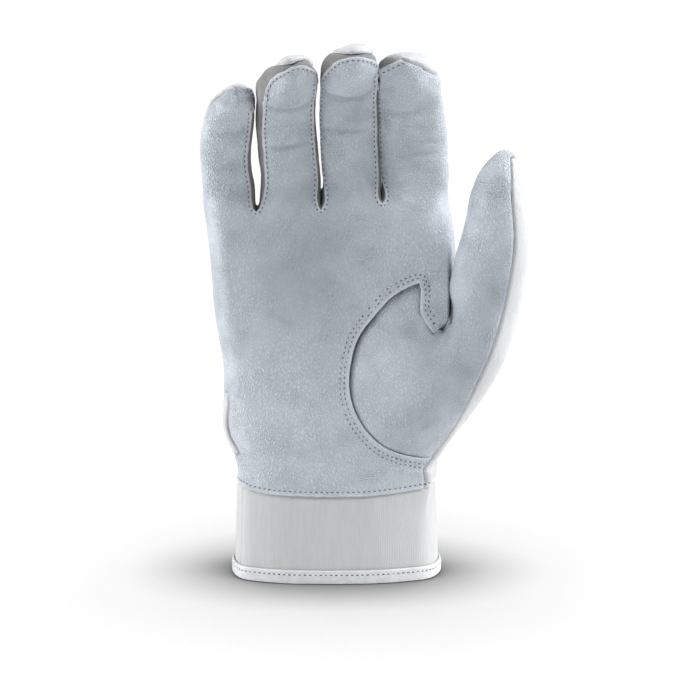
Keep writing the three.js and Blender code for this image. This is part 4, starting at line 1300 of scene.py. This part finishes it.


# The leathers: colours as they render under plain light, sizes in millimetres
# the third colour is painted shade for the grain's grooves, creases, seams and the hand's hollow; the fourth
# is a painted highlight along raised edges
leathers = {
    "sheepskin_palm": {
        "light": (0.595, 0.64, 0.695, 1),
        "dark": (0.58, 0.625, 0.68, 1),
        "paintedShade": (0.31, 0.342, 0.39, 1),
        "edgeLightColour": (0.68, 0.7, 0.72, 1),
        "pore": 0.95,
        "wrinkle": (0.85, 0.85, 2.3),
        "leans": (30, -28),
        "contrast": 0.5,
        "hollow": 0.72,
        "depth": 0.34,
        "roughness": 0.55,
    },
    "sheepskin_white": {
        "light": (0.575, 0.585, 0.595, 1),
        "dark": (0.555, 0.565, 0.575, 1),
        "paintedShade": (0.5, 0.51, 0.53, 1),
        "edgeLightColour": (0.68, 0.69, 0.7, 1),
        "pore": 0.95,
        "wrinkle": (1.0, 1.0, 2.6),
        "leans": (-20, 25),
        "contrast": 0.22,
        "hollow": 0.0,
        "depth": 0.12,
        "roughness": 0.5,
    },
}


def leatherLook(name):
    # pebbled pores, drawn out into fine wrinkles in places, with painted shade in the grain's grooves,
    # creases, seams and the hand's hollow, and a painted highlight along raised seam edges
    kind = leathers[name]
    look, shader = startLook(name, kind["roughness"], 0.42, 0.08)
    porous = ramp(look, grainCells(look, kind["pore"]), 0.0, 0.3)
    oneWay, otherWay = (grainCells(look, kind["wrinkle"], turn=(0, lean, 0)) for lean in kind["leans"])
    where = ramp(look, softCloud(look, 24.0, 1.0), 0.38, 0.54)
    way = ramp(look, softCloud(look, 45.0, 1.0), 0.48, 0.54)
    patchy = ramp(look, softCloud(look, 11.0), 0.35, 0.6, 0.45, 1.0)
    wrinkled = ramp(look, addNode(look, "Mix", {0: way, 2: oneWay, 3: otherWay}).outputs[0], 0.0, 0.3)
    grain = addNode(look, "Mix", {0: where, 2: porous, 3: wrinkled}).outputs[0]
    colour = tint(look, ramp(look, softCloud(look, 30.0), 0.35, 0.65), kind["dark"], kind["light"])
    # painted shade over the hollow of the hand and the thumb's base
    paintedHollowShade = mathOf(look, "MULTIPLY", mark(look, "hollow"), kind["hollow"])
    # painted shade in the grain's grooves, standing in for the grain's relief
    groove = ramp(look, grain, 0.0, 1.0, kind["contrast"], 0.0)
    # painted shade in the creases and turned-in seams
    paintedCreaseShade = ramp(look, mark(look, "paintedCreaseShade"), 0.0, 1.2, 0.0, 0.75)
    for darker in (paintedHollowShade, groove, paintedCreaseShade):
        colour = tint(look, darker, colour, kind["paintedShade"])
    # a painted highlight along raised seam edges, broken up by a fine cloud
    edgeLightBreakup = ramp(look, softCloud(look, 1.4), 0.3, 0.6, 0.25, 0.6)
    colour = tint(look, mathOf(look, "MULTIPLY", mark(look, "paintedEdgeLight"), edgeLightBreakup), colour, kind["edgeLightColour"])
    normal = bumped(look, mathOf(look, "MULTIPLY", grain, patchy), kind["depth"])
    return finishLook(look, shader, colour, normal)


def edgeLookOf(name, light, dark):
    # the raw cut edge of the leather, paler and fibrous
    look, shader = startLook(name, 0.85, 0.2)
    colour = tint(look, ramp(look, softCloud(look, 1.6), 0.35, 0.65), dark, light)
    return finishLook(look, shader, colour, bumped(look, softCloud(look, 0.5, 3.0), 0.12))


# The knits: colours, size of a loop and depth of the relief in millimetres
knits = {
    "gusset_knit": {
        "light": (0.27, 0.268, 0.262, 1),
        "dark": (0.235, 0.233, 0.229, 1),
        "pitch": 0.5,
        "depth": 0.2,
    },
    "stretch_knit": {
        "light": (0.8, 0.81, 0.82, 1),
        "dark": (0.72, 0.73, 0.75, 1),
        "pitch": 1.1,
        "depth": 0.64,
    },
}


def knitLook(name):
    # rows of small loops
    kind = knits[name]
    look, shader = startLook(name, 0.85, 0.25, 0.15)
    x, y, z = axesOf(look, (kind["pitch"],) * 3)
    loops = mathOf(look, "MULTIPLY", waves(look, mathOf(look, "ADD", x, y), 0.5), waves(look, z, 0.5))
    colour = tint(look, ramp(look, softCloud(look, 5.0, 3.0), 0.3, 0.7), kind["dark"], kind["light"])
    # painted shade in the gaps between the loops
    colour = tint(look, ramp(look, loops, 0.0, 0.12, 0.22, 0.0), colour, (0.1, 0.1, 0.1, 1))
    return finishLook(look, shader, colour, bumped(look, loops, kind["depth"]))


# The cuff's elastic and the hem's tape: sizes of their ribs, weave and threads in millimetres
elastic = {
    "light": (0.56, 0.567, 0.57, 1),
    "dark": (0.53, 0.537, 0.54, 1),
    "groove": (0.36, 0.36, 0.36, 1),
    "rib": 0.42,
    "ribDepth": 0.16,
    "weave": 0.3,
    "weaveDepth": 0.08,
}
tape = {
    "light": (0.67, 0.68, 0.695, 1),
    "dark": (0.6, 0.61, 0.625, 1),
    "thread": 0.22,
    "threadDepth": 0.08,
    "pucker": 2.5,
    "puckerDepth": 0.25,
}


def elasticLookOf(name):
    # woven elastic: fine upright ribs with a close weave between them
    look, shader = startLook(name, 0.78, 0.3, 0.1)
    _, _, z = axesOf(look)
    rib = waves(look, mark(look, "around"), elastic["rib"])
    weave = waves(look, mathOf(look, "ADD", z, mathOf(look, "MULTIPLY", rib, 0.6)), elastic["weave"])
    cloud = ramp(look, softCloud(look, (2.0, 2.0, 14.0), 3.0), 0.3, 0.7)
    colour = tint(look, cloud, elastic["dark"], elastic["light"])
    # painted shade in the grooves between the ribs
    colour = tint(look, ramp(look, rib, 0.0, 0.25, 0.2, 0.0), colour, elastic["groove"])
    normal = bumped(look, rib, elastic["ribDepth"])
    return finishLook(look, shader, colour, bumped(look, weave, elastic["weaveDepth"], normal))


def tapeLookOf(name):
    # satin tape: fine threads across, with a soft shine
    look, shader = startLook(name, 0.42, 0.5, 0.1)
    colour = tint(look, ramp(look, softCloud(look, 3.5, 3.0), 0.3, 0.7), tape["dark"], tape["light"])
    normal = bumped(look, waves(look, mark(look, "around"), tape["thread"]), tape["threadDepth"])
    normal = bumped(look, softCloud(look, tape["pucker"]), tape["puckerDepth"], normal)
    return finishLook(look, shader, colour, normal)


def threadLookOf(name, light, dark):
    # twisted polyester thread
    look, shader = startLook(name, 0.55, 0.4)
    x, y, z = axesOf(look, (0.3, 0.3, 0.3))
    twist = waves(look, mathOf(look, "ADD", mathOf(look, "ADD", x, y), z), 0.5)
    colour = tint(look, ramp(look, twist, 0.0, 0.3), dark, light)
    return finishLook(look, shader, colour, bumped(look, twist, 0.1))


def fuzzLook(name, light, dark, size, depth):
    # a brushed or hooked face of a fastener
    look, shader = startLook(name, 0.95, 0.15, 0.3)
    tufts = grainCells(look, size, 0.9, "F1")
    colour = tint(look, ramp(look, tufts, 0.15, 0.75), light, dark)
    normal = bumped(look, tufts, -depth)
    fibres = softCloud(look, size * 0.5, 4.0)
    return finishLook(look, shader, colour, bumped(look, fibres, depth * 0.6, normal))


looks = {
    palm: leatherLook("sheepskin_palm"),
    back: leatherLook("sheepskin_white"),
    fourchette: knitLook("gusset_knit"),
    flex: knitLook("stretch_knit"),
}
looks[thumbPiece] = looks[palm]
palmEdge = edgeLookOf("cut_edge_palm", (0.58, 0.62, 0.67, 1), (0.47, 0.51, 0.56, 1))
whiteEdge = edgeLookOf("cut_edge_white", (0.8, 0.81, 0.83, 1), (0.66, 0.67, 0.69, 1))
edgeLooks = looks | {palm: palmEdge, thumbPiece: palmEdge, back: whiteEdge}
threadLook = threadLookOf("sewing_thread", (0.62, 0.65, 0.7, 1), (0.42, 0.45, 0.5, 1))
# a dark oval at each needle hole: painted shade where the hole falls into shadow
holeShadeLook = edgeLookOf("needle_hole_shade", (0.13, 0.14, 0.16, 1), (0.09, 0.1, 0.12, 1))
whiteThreadLook = threadLookOf("white_thread", (0.82, 0.83, 0.84, 1), (0.6, 0.61, 0.62, 1))


def bendWith(obj, body):
    # the hand's pieces hang from the hand's body; the fingers' and the thumb's pieces keep their places,
    # baked into their points
    if body == 0:
        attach(obj, "hand")
    elif body < 5:
        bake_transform(obj)
    else:
        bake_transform(obj)


pieceNames = {
    palm: "palm_leather",
    thumbPiece: "thumb_leather",
    back: "back_leather",
    fourchette: "fourchette",
    flex: "knuckle_knit",
}
replaced = {
    (palm, 0): ["palm_panel"],
    (thumbPiece, 0): ["thumb_panel"],
    (back, 0): ["back_panel"],
    (fourchette, 0): ["web_little_ring", "web_ring_middle", "web_middle_index"],
    (flex, 0): ["knuckle_flex"],
    (thumbPiece, 5): ["thumb_front"],
    (back, 5): ["thumb_back"],
    (fourchette, 1): ["little_right_fourchette"],
    (fourchette, 2): ["ring_left_fourchette", "ring_right_fourchette"],
    (fourchette, 3): ["middle_left_fourchette", "middle_right_fourchette"],
    (fourchette, 4): ["index_left_fourchette"],
}
for body, finger in enumerate(fingers, 1):
    replaced[palm, body] = [finger["name"] + "_front"]
    replaced[back, body] = [finger["name"] + "_back"]

pieces = {group: Piece(group) for group in meetings}
print("pieces shaped")
for group, piece in pieces.items():
    for body, bodyName in enumerate(bodyNames):
        chosen = piece.chosen & (bodies == body)
        if not chosen.any():
            continue
        name = pieceNames[group] + "_" + bodyName
        obj = partMesh(name, piece, chosen, [looks[group], edgeLooks[group]])
        bendWith(obj, body)
        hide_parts(*replaced[group, body])
        print(obj.name, len(obj.data.vertices))


def joinRings(first, sides, count):
    # the faces of a closed tube through some rings of points
    polygons = [tuple(first + n for n in range(sides))]
    for k in range(count - 1):
        for n in range(sides):
            a, b = first + k * sides + n, first + k * sides + (n + 1) % sides
            polygons.append((b, a, a + sides, b + sides))
    return polygons + [tuple(first + (count - 1) * sides + n for n in range(sides))[::-1]]


def sewThreads(name, seams, look):
    # one mesh of short threads with a needle hole before each; a seam is a line of points and their normals
    verts, polygons, kinds = [], [], []
    sides, holeSides = stitch["sides"], stitch["holeSides"]
    turns = np.arange(sides) * 2 * math.pi / sides
    holeTurns = np.arange(holeSides) * 2 * math.pi / holeSides
    share = np.linspace(-1, 1, stitch["points"])
    height = (stitch["rise"] + stitch["sink"]) * (1 - share**4) - stitch["sink"]
    wide = stitch["radius"] * (1 - 0.45 * share**6)
    for line, normal in seams:
        tangent = unit(np.gradient(line, axis=0))
        across = unit(np.cross(tangent, normal))
        tube = joinRings(len(verts), sides, stitch["points"])
        for k, (rise, radius) in enumerate(zip(height, wide), 1):
            up = rise + radius * np.sin(turns)
            side = radius * np.cos(turns) * stitch["flatness"]
            verts += list(line[k] + normal[k] * up[:, None] + across[k] * side[:, None])
        # the hole, a shallow dark oval on the leather: painted shade in the needle hole
        hole = joinRings(len(verts), holeSides, len(stitch["holeRings"]))
        for size, rise in stitch["holeRings"]:
            oval = tangent[0] * (np.cos(holeTurns) * stitch["holeLength"] * size)[:, None]
            oval = oval + across[0] * (np.sin(holeTurns) * stitch["holeWidth"] * size)[:, None]
            verts += list(line[0] + oval + normal[0] * stitch["holeRise"] * rise)
        polygons += tube + hole
        kinds += [0] * len(tube) + [1] * len(hole)
    return makeMesh(name, verts, polygons, kinds, {}, [look, holeShadeLook])


def evenly(line):
    # a line's points at even steps, in a group for each stitch: its hole, then the thread
    steps = np.linalg.norm(line[1:, :3] - line[:-1, :3], axis=1)
    along = np.concatenate([[0], np.cumsum(steps)])
    count = max(int(along[-1] / stitch["pitch"]), 1)
    thread = np.linspace(-0.5, 0.5, stitch["points"]) * stitch["length"] / stitch["pitch"]
    places = np.array([0, *(0.5 + thread)])
    wanted = (np.arange(count)[:, None] + places).ravel() * along[-1] / count
    values = [np.interp(wanted, along, column) for column in line.T]
    return np.stack(values, 1).reshape(count, len(places), -1)


def seamThreads(piece, border, row):
    # threads along a border at a row's distance, laid on the piece's shaped surface, each with its body
    facesBody = bodies[piece.chosen]
    middle = (stitch["points"] + 1) // 2
    found = []
    for line, inward in border.lines:
        for spots in evenly(line + inward * row):
            if border.pair == (palm, thumbPiece) and spots[middle][0] > arc["lastStitch"]:
                continue
            hits = [piece.tree.find_nearest(Vector(spot)) for spot in spots]
            laid = np.array([place for place, _, _, _ in hits])
            normal = np.array([normal for _, normal, _, _ in hits])
            found.append((facesBody[hits[middle][2]], laid, normal))
    return found


for group in rows:
    piece = pieces[group]
    local = piece.index[faces[piece.chosen]]
    polygons = [tuple(dict.fromkeys(corners)) for corners in local.tolist()]
    piece.tree = BVHTree.FromPolygons(piece.place.tolist(), polygons)
    sewn = []
    for other, distances in rows[group].items():
        if other in piece.seams:
            for row in distances:
                sewn += seamThreads(piece, piece.seams[other], row)
    for body, bodyName in enumerate(bodyNames):
        mine = [(line, normal) for b, line, normal in sewn if b == body]
        if mine:
            look = threadLook if group == palm else whiteThreadLook
            obj = sewThreads(pieceNames[group] + "_stitching_" + bodyName, mine, look)
            bendWith(obj, body)
print("seams sewn")

# The cuff: an elastic band whose foot is bound with folded tape, and a strap round its back.
# Angles are in degrees round the glove's axis, offsets are off the hand's surface
cuff = {
    "bandOffset": -0.25,
    "bandThickness": 1.6,
    "bandTopLevel": 2.45,
    "underLeather": -1.15,
    "underRun": 2.2,
    "bindingHeight": 6.0,
    "bindingRipple": (0.12, 9),
    "tape": 0.8,
    "strapFoot": 8.0,
    "strapHeight": 26.0,
    "strapThickness": 1.6,
    "patchThickness": 1.1,
    "patchMargin": 3.0,
    "layerGap": 0.35,
    "overBand": 0.15,
    "anchorAngles": (27, 41),
    "strapAngles": (41.6, 155),
    "climbAngles": (47.6, 92),
    "hookAngles": (112, 146),
    "loopAngles": (96, 150),
    "tongueAngle": 13.0,
    "tongueTipShare": 0.45,
    "angleStep": 0.8,
    "seamMargin": 2.2,
    "seamEndAngle": 3.2,
    "seamTongueAngle": 2.6,
    "hemSeamHeight": 4.1,
    "hemSeamOffset": 0.92,
}
# The tape's section: the leaning of its outer side in millimetres, from its top edge down
hemSide = [(-0.25, 6.0), (0, 5.75), (0.12, 4.8), (-0.03, 4.1), (0.14, 3.0), (0.08, 2.2)]
hemBend = {"rise": 1.5, "squareness": 0.7, "inFoot": 1.1}
fine = 2**fineSteps
low = levels < cuffLevelCount
onGrid = np.round(spots[low] * fine).astype(int)
grid = np.zeros((cuffLevelCount * fine + 1, columnCount * fine), int)
grid[onGrid[..., 1].ravel(), onGrid[..., 0].ravel() % (columnCount * fine)] = faces[low].ravel()
cuffPlace = points[grid]
cuffNormal = normals[grid] * [1, 1, 0]
cuffNormal /= np.linalg.norm(cuffNormal, axis=2, keepdims=True)
cuffAngle = np.degrees(np.arctan2(cuffPlace[..., 1] - shift[1], cuffPlace[..., 0] - shift[0])) % 360


def onCuff(angle, z, offset):
    # points off the cuff's surface, by angle round its axis and height
    angle, z, offset = (np.ravel(x) for x in np.broadcast_arrays(np.asarray(angle, float), z, offset))
    column = np.arange(grid.shape[1])
    out = np.zeros((len(angle), 3))
    for height in np.unique(z):
        row = np.clip((cuffPlace[..., 2] < height).sum(0) - 1, 0, len(grid) - 2)
        a, b = cuffPlace[row, column], cuffPlace[row + 1, column]
        t = np.clip((height - a[:, 2]) / (b[:, 2] - a[:, 2]), -1, 2)[:, None]
        ring, normal = a + (b - a) * t, cuffNormal[row, column] * (1 - t) + cuffNormal[row + 1, column] * t
        at, mine = cuffAngle[row, column], z == height
        for axis in range(2):
            flat = np.interp(angle[mine], at, ring[:, axis], period=360)
            out[mine, axis] = flat + np.interp(angle[mine], at, normal[:, axis], period=360) * offset[mine]
        out[mine, 2] = height
    return out


def loftMesh(name, rows, isLoop, look, marks):
    # a closed mesh through sections of equal length; a loop joins the last to the first
    rows = np.asarray(rows)
    count, around = rows.shape[:2]
    at = np.arange(count * around).reshape(count, around)
    after = np.roll(at, -1, 0) if isLoop else at[1:]
    here = at if isLoop else at[:-1]
    sides = np.stack([after, np.roll(after, -1, 1), np.roll(here, -1, 1), here], 2)
    polygons = sides.reshape(-1, 4).tolist()
    if not isLoop:
        polygons += [at[0].tolist(), at[-1, ::-1].tolist()]
    return makeMesh(name, rows.reshape(-1, 3), polygons, [0] * len(polygons), marks, [look])


def bandRows():
    # the band as sections up its height: outer side up, inner side down
    last = int(cuff["bandTopLevel"] * fine)
    level = np.arange(last + 1) / fine
    below = (2 - level) * (hand["leatherFoot"] - hand["bandFoot"]) / 2
    tucked = smooth(1 - below / cuff["underRun"])
    offset = cuff["bandOffset"] + (cuff["underLeather"] - cuff["bandOffset"]) * tucked
    outer = cuffPlace[: last + 1] + cuffNormal[: last + 1] * offset[:, None, None]
    inner = outer - cuffNormal[: last + 1] * cuff["bandThickness"]
    return np.concatenate([outer, inner[::-1]]).transpose(1, 0, 2)


def bindingRows():
    # a folded tape, round at the foot, its edges standing on both sides of the band
    height, tape = cuff["bindingHeight"], cuff["tape"]
    outside = cuff["bandOffset"] + cuff["layerGap"] + tape
    inside = cuff["bandOffset"] - cuff["bandThickness"] - cuff["layerGap"] - tape
    middle, half = (outside + inside) / 2, (outside - inside) / 2
    squareness, foot = hemBend["squareness"], hemBend["inFoot"]
    section = [(outside + leaning, z) for leaning, z in hemSide]
    for turn in range(0, 181, 15):
        cos, sin = math.cos(math.radians(turn)), math.sin(math.radians(turn))
        out = middle + half * math.copysign(abs(cos) ** squareness, cos)
        section.append((out, hemBend["rise"] * (1 - abs(sin) ** squareness)))
    section += [(inside, 2.2), (inside, 4.1), (inside, height - 0.25), (inside + 0.25, height)]
    section += [(inside + tape, height), (inside + tape, foot)]
    section += [(outside - tape, foot), (outside - tape, height)]
    angle = cuffAngle[0][None, :]
    offset, z = (np.array(side)[:, None] for side in zip(*section))
    rise, size = cuff["bindingRipple"]
    turns = np.radians(angle[0])
    ripple = [noise.noise(Vector((math.cos(turn) * size, math.sin(turn) * size, 2))) for turn in turns]
    laid = onCuff(angle, z, offset + rise * np.array(ripple))
    return laid.reshape(len(section), -1, 3).transpose(1, 0, 2)[:, ::-1]


def halfAt(angle, end, half, tongue):
    # half of a strip's height, which shrinks over its tongue to a share at the tip
    left = np.minimum((end - angle) / tongue, 1) if tongue else 1
    return half * np.sqrt(1 - (1 - cuff["tongueTipShare"] ** 2) * (1 - left) ** 2)


def stripRows(strip):
    # a strip round the cuff, its edges rounded, and its end too where it has a tongue
    (start, end), thickness, tongue = cuff[strip["angles"]], cuff[strip["thickness"]], strip["tongue"]
    turns = np.linspace(0, math.pi / 2, 16)
    stations = np.append(np.arange(start, end, cuff["angleStep"]), end)
    if tongue:
        body = np.arange(start, end - tongue, cuff["angleStep"])
        stations = np.concatenate([body, end - tongue + tongue * np.sin(turns)])
    radius = min(thickness / 2, 0.7)
    rows = []
    for angle in stations:
        half = halfAt(angle, end, strip["height"] / 2, tongue) - radius
        inside = strip["offsetAt"](angle)
        outside = inside + thickness
        corner = []
        for middle, first, last in ((inside + radius, 180, 90), (outside - radius, 90, 0)):
            for turn in np.radians(np.arange(first, last - 1, -30)):
                corner.append((middle + radius * math.cos(turn), half + radius * math.sin(turn)))
        face = [(outside, half * share) for share in np.linspace(1, -1, 27)[1:-1]]
        under = [(inside, half * share) for share in np.linspace(-1, 1, 9)[1:-1]]
        offset, z = np.array(corner + face + [(out, -z) for out, z in corner[::-1]] + under).T
        rows.append(onCuff(angle, strip["foot"] + strip["height"] / 2 + z, offset))
    return np.array(rows)[:, ::-1]


def overBand(angle):
    return cuff["overBand"]


def overLoops(angle):
    return cuff["overBand"] + cuff["patchThickness"] + cuff["layerGap"]


def overPatches(angle):
    # the strap climbs from the band over both patches
    low, high = cuff["climbAngles"]
    climb = 2 * (cuff["patchThickness"] + cuff["layerGap"])
    return cuff["overBand"] + climb * float(smooth((angle - low) / (high - low)))


napLook = fuzzLook("brushed_loops", (0.72, 0.73, 0.74, 1), (0.6, 0.61, 0.62, 1), 0.55, 0.25)
hookLook = fuzzLook("hook_face", (0.66, 0.67, 0.68, 1), (0.42, 0.43, 0.44, 1), 1.0, 0.4)
# The four flat strips at the wrist; their angles and thicknesses are names in the cuff's table
strapSize = {"foot": cuff["strapFoot"], "height": cuff["strapHeight"], "thickness": "strapThickness"}
patchSize = {
    "foot": cuff["strapFoot"] + cuff["patchMargin"],
    "height": cuff["strapHeight"] - 2 * cuff["patchMargin"],
    "thickness": "patchThickness",
    "tongue": 0,
}
strips = {
    "cuff_loop_patch": patchSize | {
        "node": "loop_patch",
        "angles": "loopAngles",
        "offsetAt": overBand,
        "look": napLook,
        "slot": "loop_nap",
        "body": "hand",
    },
    "strap_sewn_end": strapSize | {
        "node": "strap_anchor",
        "angles": "anchorAngles",
        "offsetAt": overBand,
        "tongue": 0,
        "look": looks[back],
        "slot": "back_leather",
        "body": "hand",
    },
    "wrist_strap": strapSize | {
        "node": "closure_strap",
        "angles": "strapAngles",
        "offsetAt": overPatches,
        "tongue": cuff["tongueAngle"],
        "look": looks[back],
        "slot": "back_leather",
        "body": "strap",
    },
    "strap_hook_patch": patchSize | {
        "node": "hook_patch",
        "angles": "hookAngles",
        "offsetAt": overLoops,
        "look": hookLook,
        "slot": "hook_tape",
        "body": "strap",
    },
}
for name, strip in strips.items():
    obj = loftMesh(name, stripRows(strip), False, strip["look"], {})
    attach(obj, strip["body"])
    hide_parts(strip["node"])

ringSteps = np.linalg.norm(cuffPlace[0] - np.roll(cuffPlace[0], 1, 0), axis=1)
for name, made, look, slot, node in (
    ("cuff_elastic_band", bandRows(), elasticLookOf("woven_elastic"), "cuff_elastic", "cuff_band"),
    ("hem_tape_binding", bindingRows(), tapeLookOf("satin_tape"), "hem_tape", "hem_binding"),
):
    around = np.repeat(np.cumsum(ringSteps), made.shape[1])
    obj = loftMesh(name, made, True, look, {"around": around})
    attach(obj, "hand")
    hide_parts(node)


def cuffThreads(angle, z, offset):
    # a row of stitches along a line on the cuff
    angle, z, offset = (np.ravel(x) for x in np.broadcast_arrays(np.asarray(angle, float), z, offset))
    line = np.concatenate([onCuff(a, h, o) for a, h, o in zip(angle, z, offset)])
    outer = np.concatenate([onCuff(a, h, o + 1) for a, h, o in zip(angle, z, offset)])
    return [(group[:, :3], group[:, 3:]) for group in evenly(np.concatenate([line, outer - line], 1))]


def stripThreads(strip):
    # stitches along a strip's edges, a margin inside them
    tongue = strip["tongue"]
    start, end = cuff[strip["angles"]]
    start, end = start + cuff["seamEndAngle"], end - cuff["seamTongueAngle" if tongue else "seamEndAngle"]
    straight = np.arange(start, end - tongue, 1.0)
    rounded = end - tongue + tongue * np.sin(np.linspace(0, math.pi / 2, 14)) if tongue else np.array([end])
    angle = np.concatenate([straight, rounded])
    rise = halfAt(angle, end, strip["height"] / 2 - cuff["seamMargin"], tongue) * np.ones(len(angle))
    angle = np.concatenate([angle, angle[::-1], angle[:1]])
    rise = np.concatenate([rise, -rise[::-1], rise[:1]])
    offset = np.array([strip["offsetAt"](a) for a in angle]) + cuff["strapThickness"] - 0.05
    return cuffThreads(angle, strip["foot"] + strip["height"] / 2 + rise, offset)


hemThreads = cuffThreads(np.arange(0, 361, 2.0), cuff["hemSeamHeight"], cuff["hemSeamOffset"])
cuffSeams = {
    "hem_stitching": (hemThreads, "hand", "hem_tape"),
    "strap_stitching": (stripThreads(strips["wrist_strap"]), "strap", "back_leather"),
    "strap_end_stitching": (stripThreads(strips["strap_sewn_end"]), "hand", "back_leather"),
}
for name, (seams, body, slot) in cuffSeams.items():
    obj = sewThreads(name, seams, whiteThreadLook)
    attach(obj, body)
print("cuff made")

# A white table and a white studio
studio = {
    "floorSize": 12.0,
    "seenFloor": 0.06,
    # the contact shadow: reach in metres and power, wide and narrow
    "shadows": [(0.25, 1.15), (0.05, 1.95)],
    "floorColour": 0.8,
    "ambient": 0.28,
    "ambientColour": (0.96, 0.98, 1, 1),
    # name: place, aim, width and height in metres, strength in watts
    "lamps": {
        "leftSoftBox": ((-1.35, 0.0, 0.6), (0, 0, 0.12), 1.0, 1.3, 23.0),
        "rightSoftBox": ((1.35, 0.12, 0.58), (0, 0, 0.12), 1.0, 1.3, 12.0),
        "highSoftBox": ((1.0, 0.15, 1.35), (0, 0, 0.15), 1.0, 1.0, 20.0),
        "topSoftBox": ((0.7, -0.45, 1.6), (0, 0, 0.15), 1.0, 1.0, 12.0),
    },
}


def makeFloor():
    # the camera sees a glow with a soft contact shadow, and the glove's light comes back from a plain floor
    half = studio["floorSize"] / 2
    mesh = bpy.data.meshes.new("studio_floor")
    corners = [(-half, -half, 0), (half, -half, 0), (half, half, 0), (-half, half, 0)]
    mesh.from_pydata(corners, [], [(0, 1, 2, 3)])
    look = bpy.data.materials.new("white_table")
    look.use_nodes = True
    look.node_tree.nodes.clear()
    powers = []
    for reach, power in studio["shadows"]:
        near = addNode(look, "AmbientOcclusion", {"Distance": reach}).outputs["AO"]
        powers.append(mathOf(look, "POWER", near, power))
    glow = addNode(look, "Emission", {"Strength": mathOf(look, "MULTIPLY", *powers)}).outputs[0]
    seen = addNode(look, "BsdfDiffuse", {"Color": (*[studio["seenFloor"]] * 3, 1)}).outputs[0]
    plain = addNode(look, "BsdfDiffuse", {"Color": (*[studio["floorColour"]] * 3, 1)}).outputs[0]
    both = addNode(look, "AddShader", {0: seen, 1: glow}).outputs[0]
    onlySeen(look, plain, both, "OutputMaterial")
    mesh.materials.append(look)
    addObject("studio_floor", mesh)


def onlySeen(look, plain, seen, output):
    # one shader for the camera, the other for all else
    camera = addNode(look, "LightPath").outputs["Is Camera Ray"]
    mix = addNode(look, "MixShader", {0: camera, 1: plain, 2: seen}).outputs[0]
    addNode(look, output, {0: mix})


def makeStudio():
    makeFloor()
    world = bpy.data.worlds.new("studio")
    bpy.context.scene.world = world
    world.use_nodes = True
    world.node_tree.nodes.clear()
    inputs = {"Color": studio["ambientColour"], "Strength": studio["ambient"]}
    ambient = addNode(world, "Background", inputs).outputs[0]
    white = addNode(world, "Background", {"Color": (1, 1, 1, 1), "Strength": 1.0}).outputs[0]
    onlySeen(world, ambient, white, "OutputWorld")
    for name, (spot, aim, width, height, power) in studio["lamps"].items():
        lamp = bpy.data.lights.new(name, "AREA")
        lamp.shape, lamp.size, lamp.size_y, lamp.energy = "RECTANGLE", width, height, power
        obj = addObject(name, lamp)
        obj.location = spot
        turnTowards(obj, Vector(aim) - Vector(spot))
    bpy.context.scene.view_settings.view_transform = "Standard"


makeStudio()
print("studio lit")
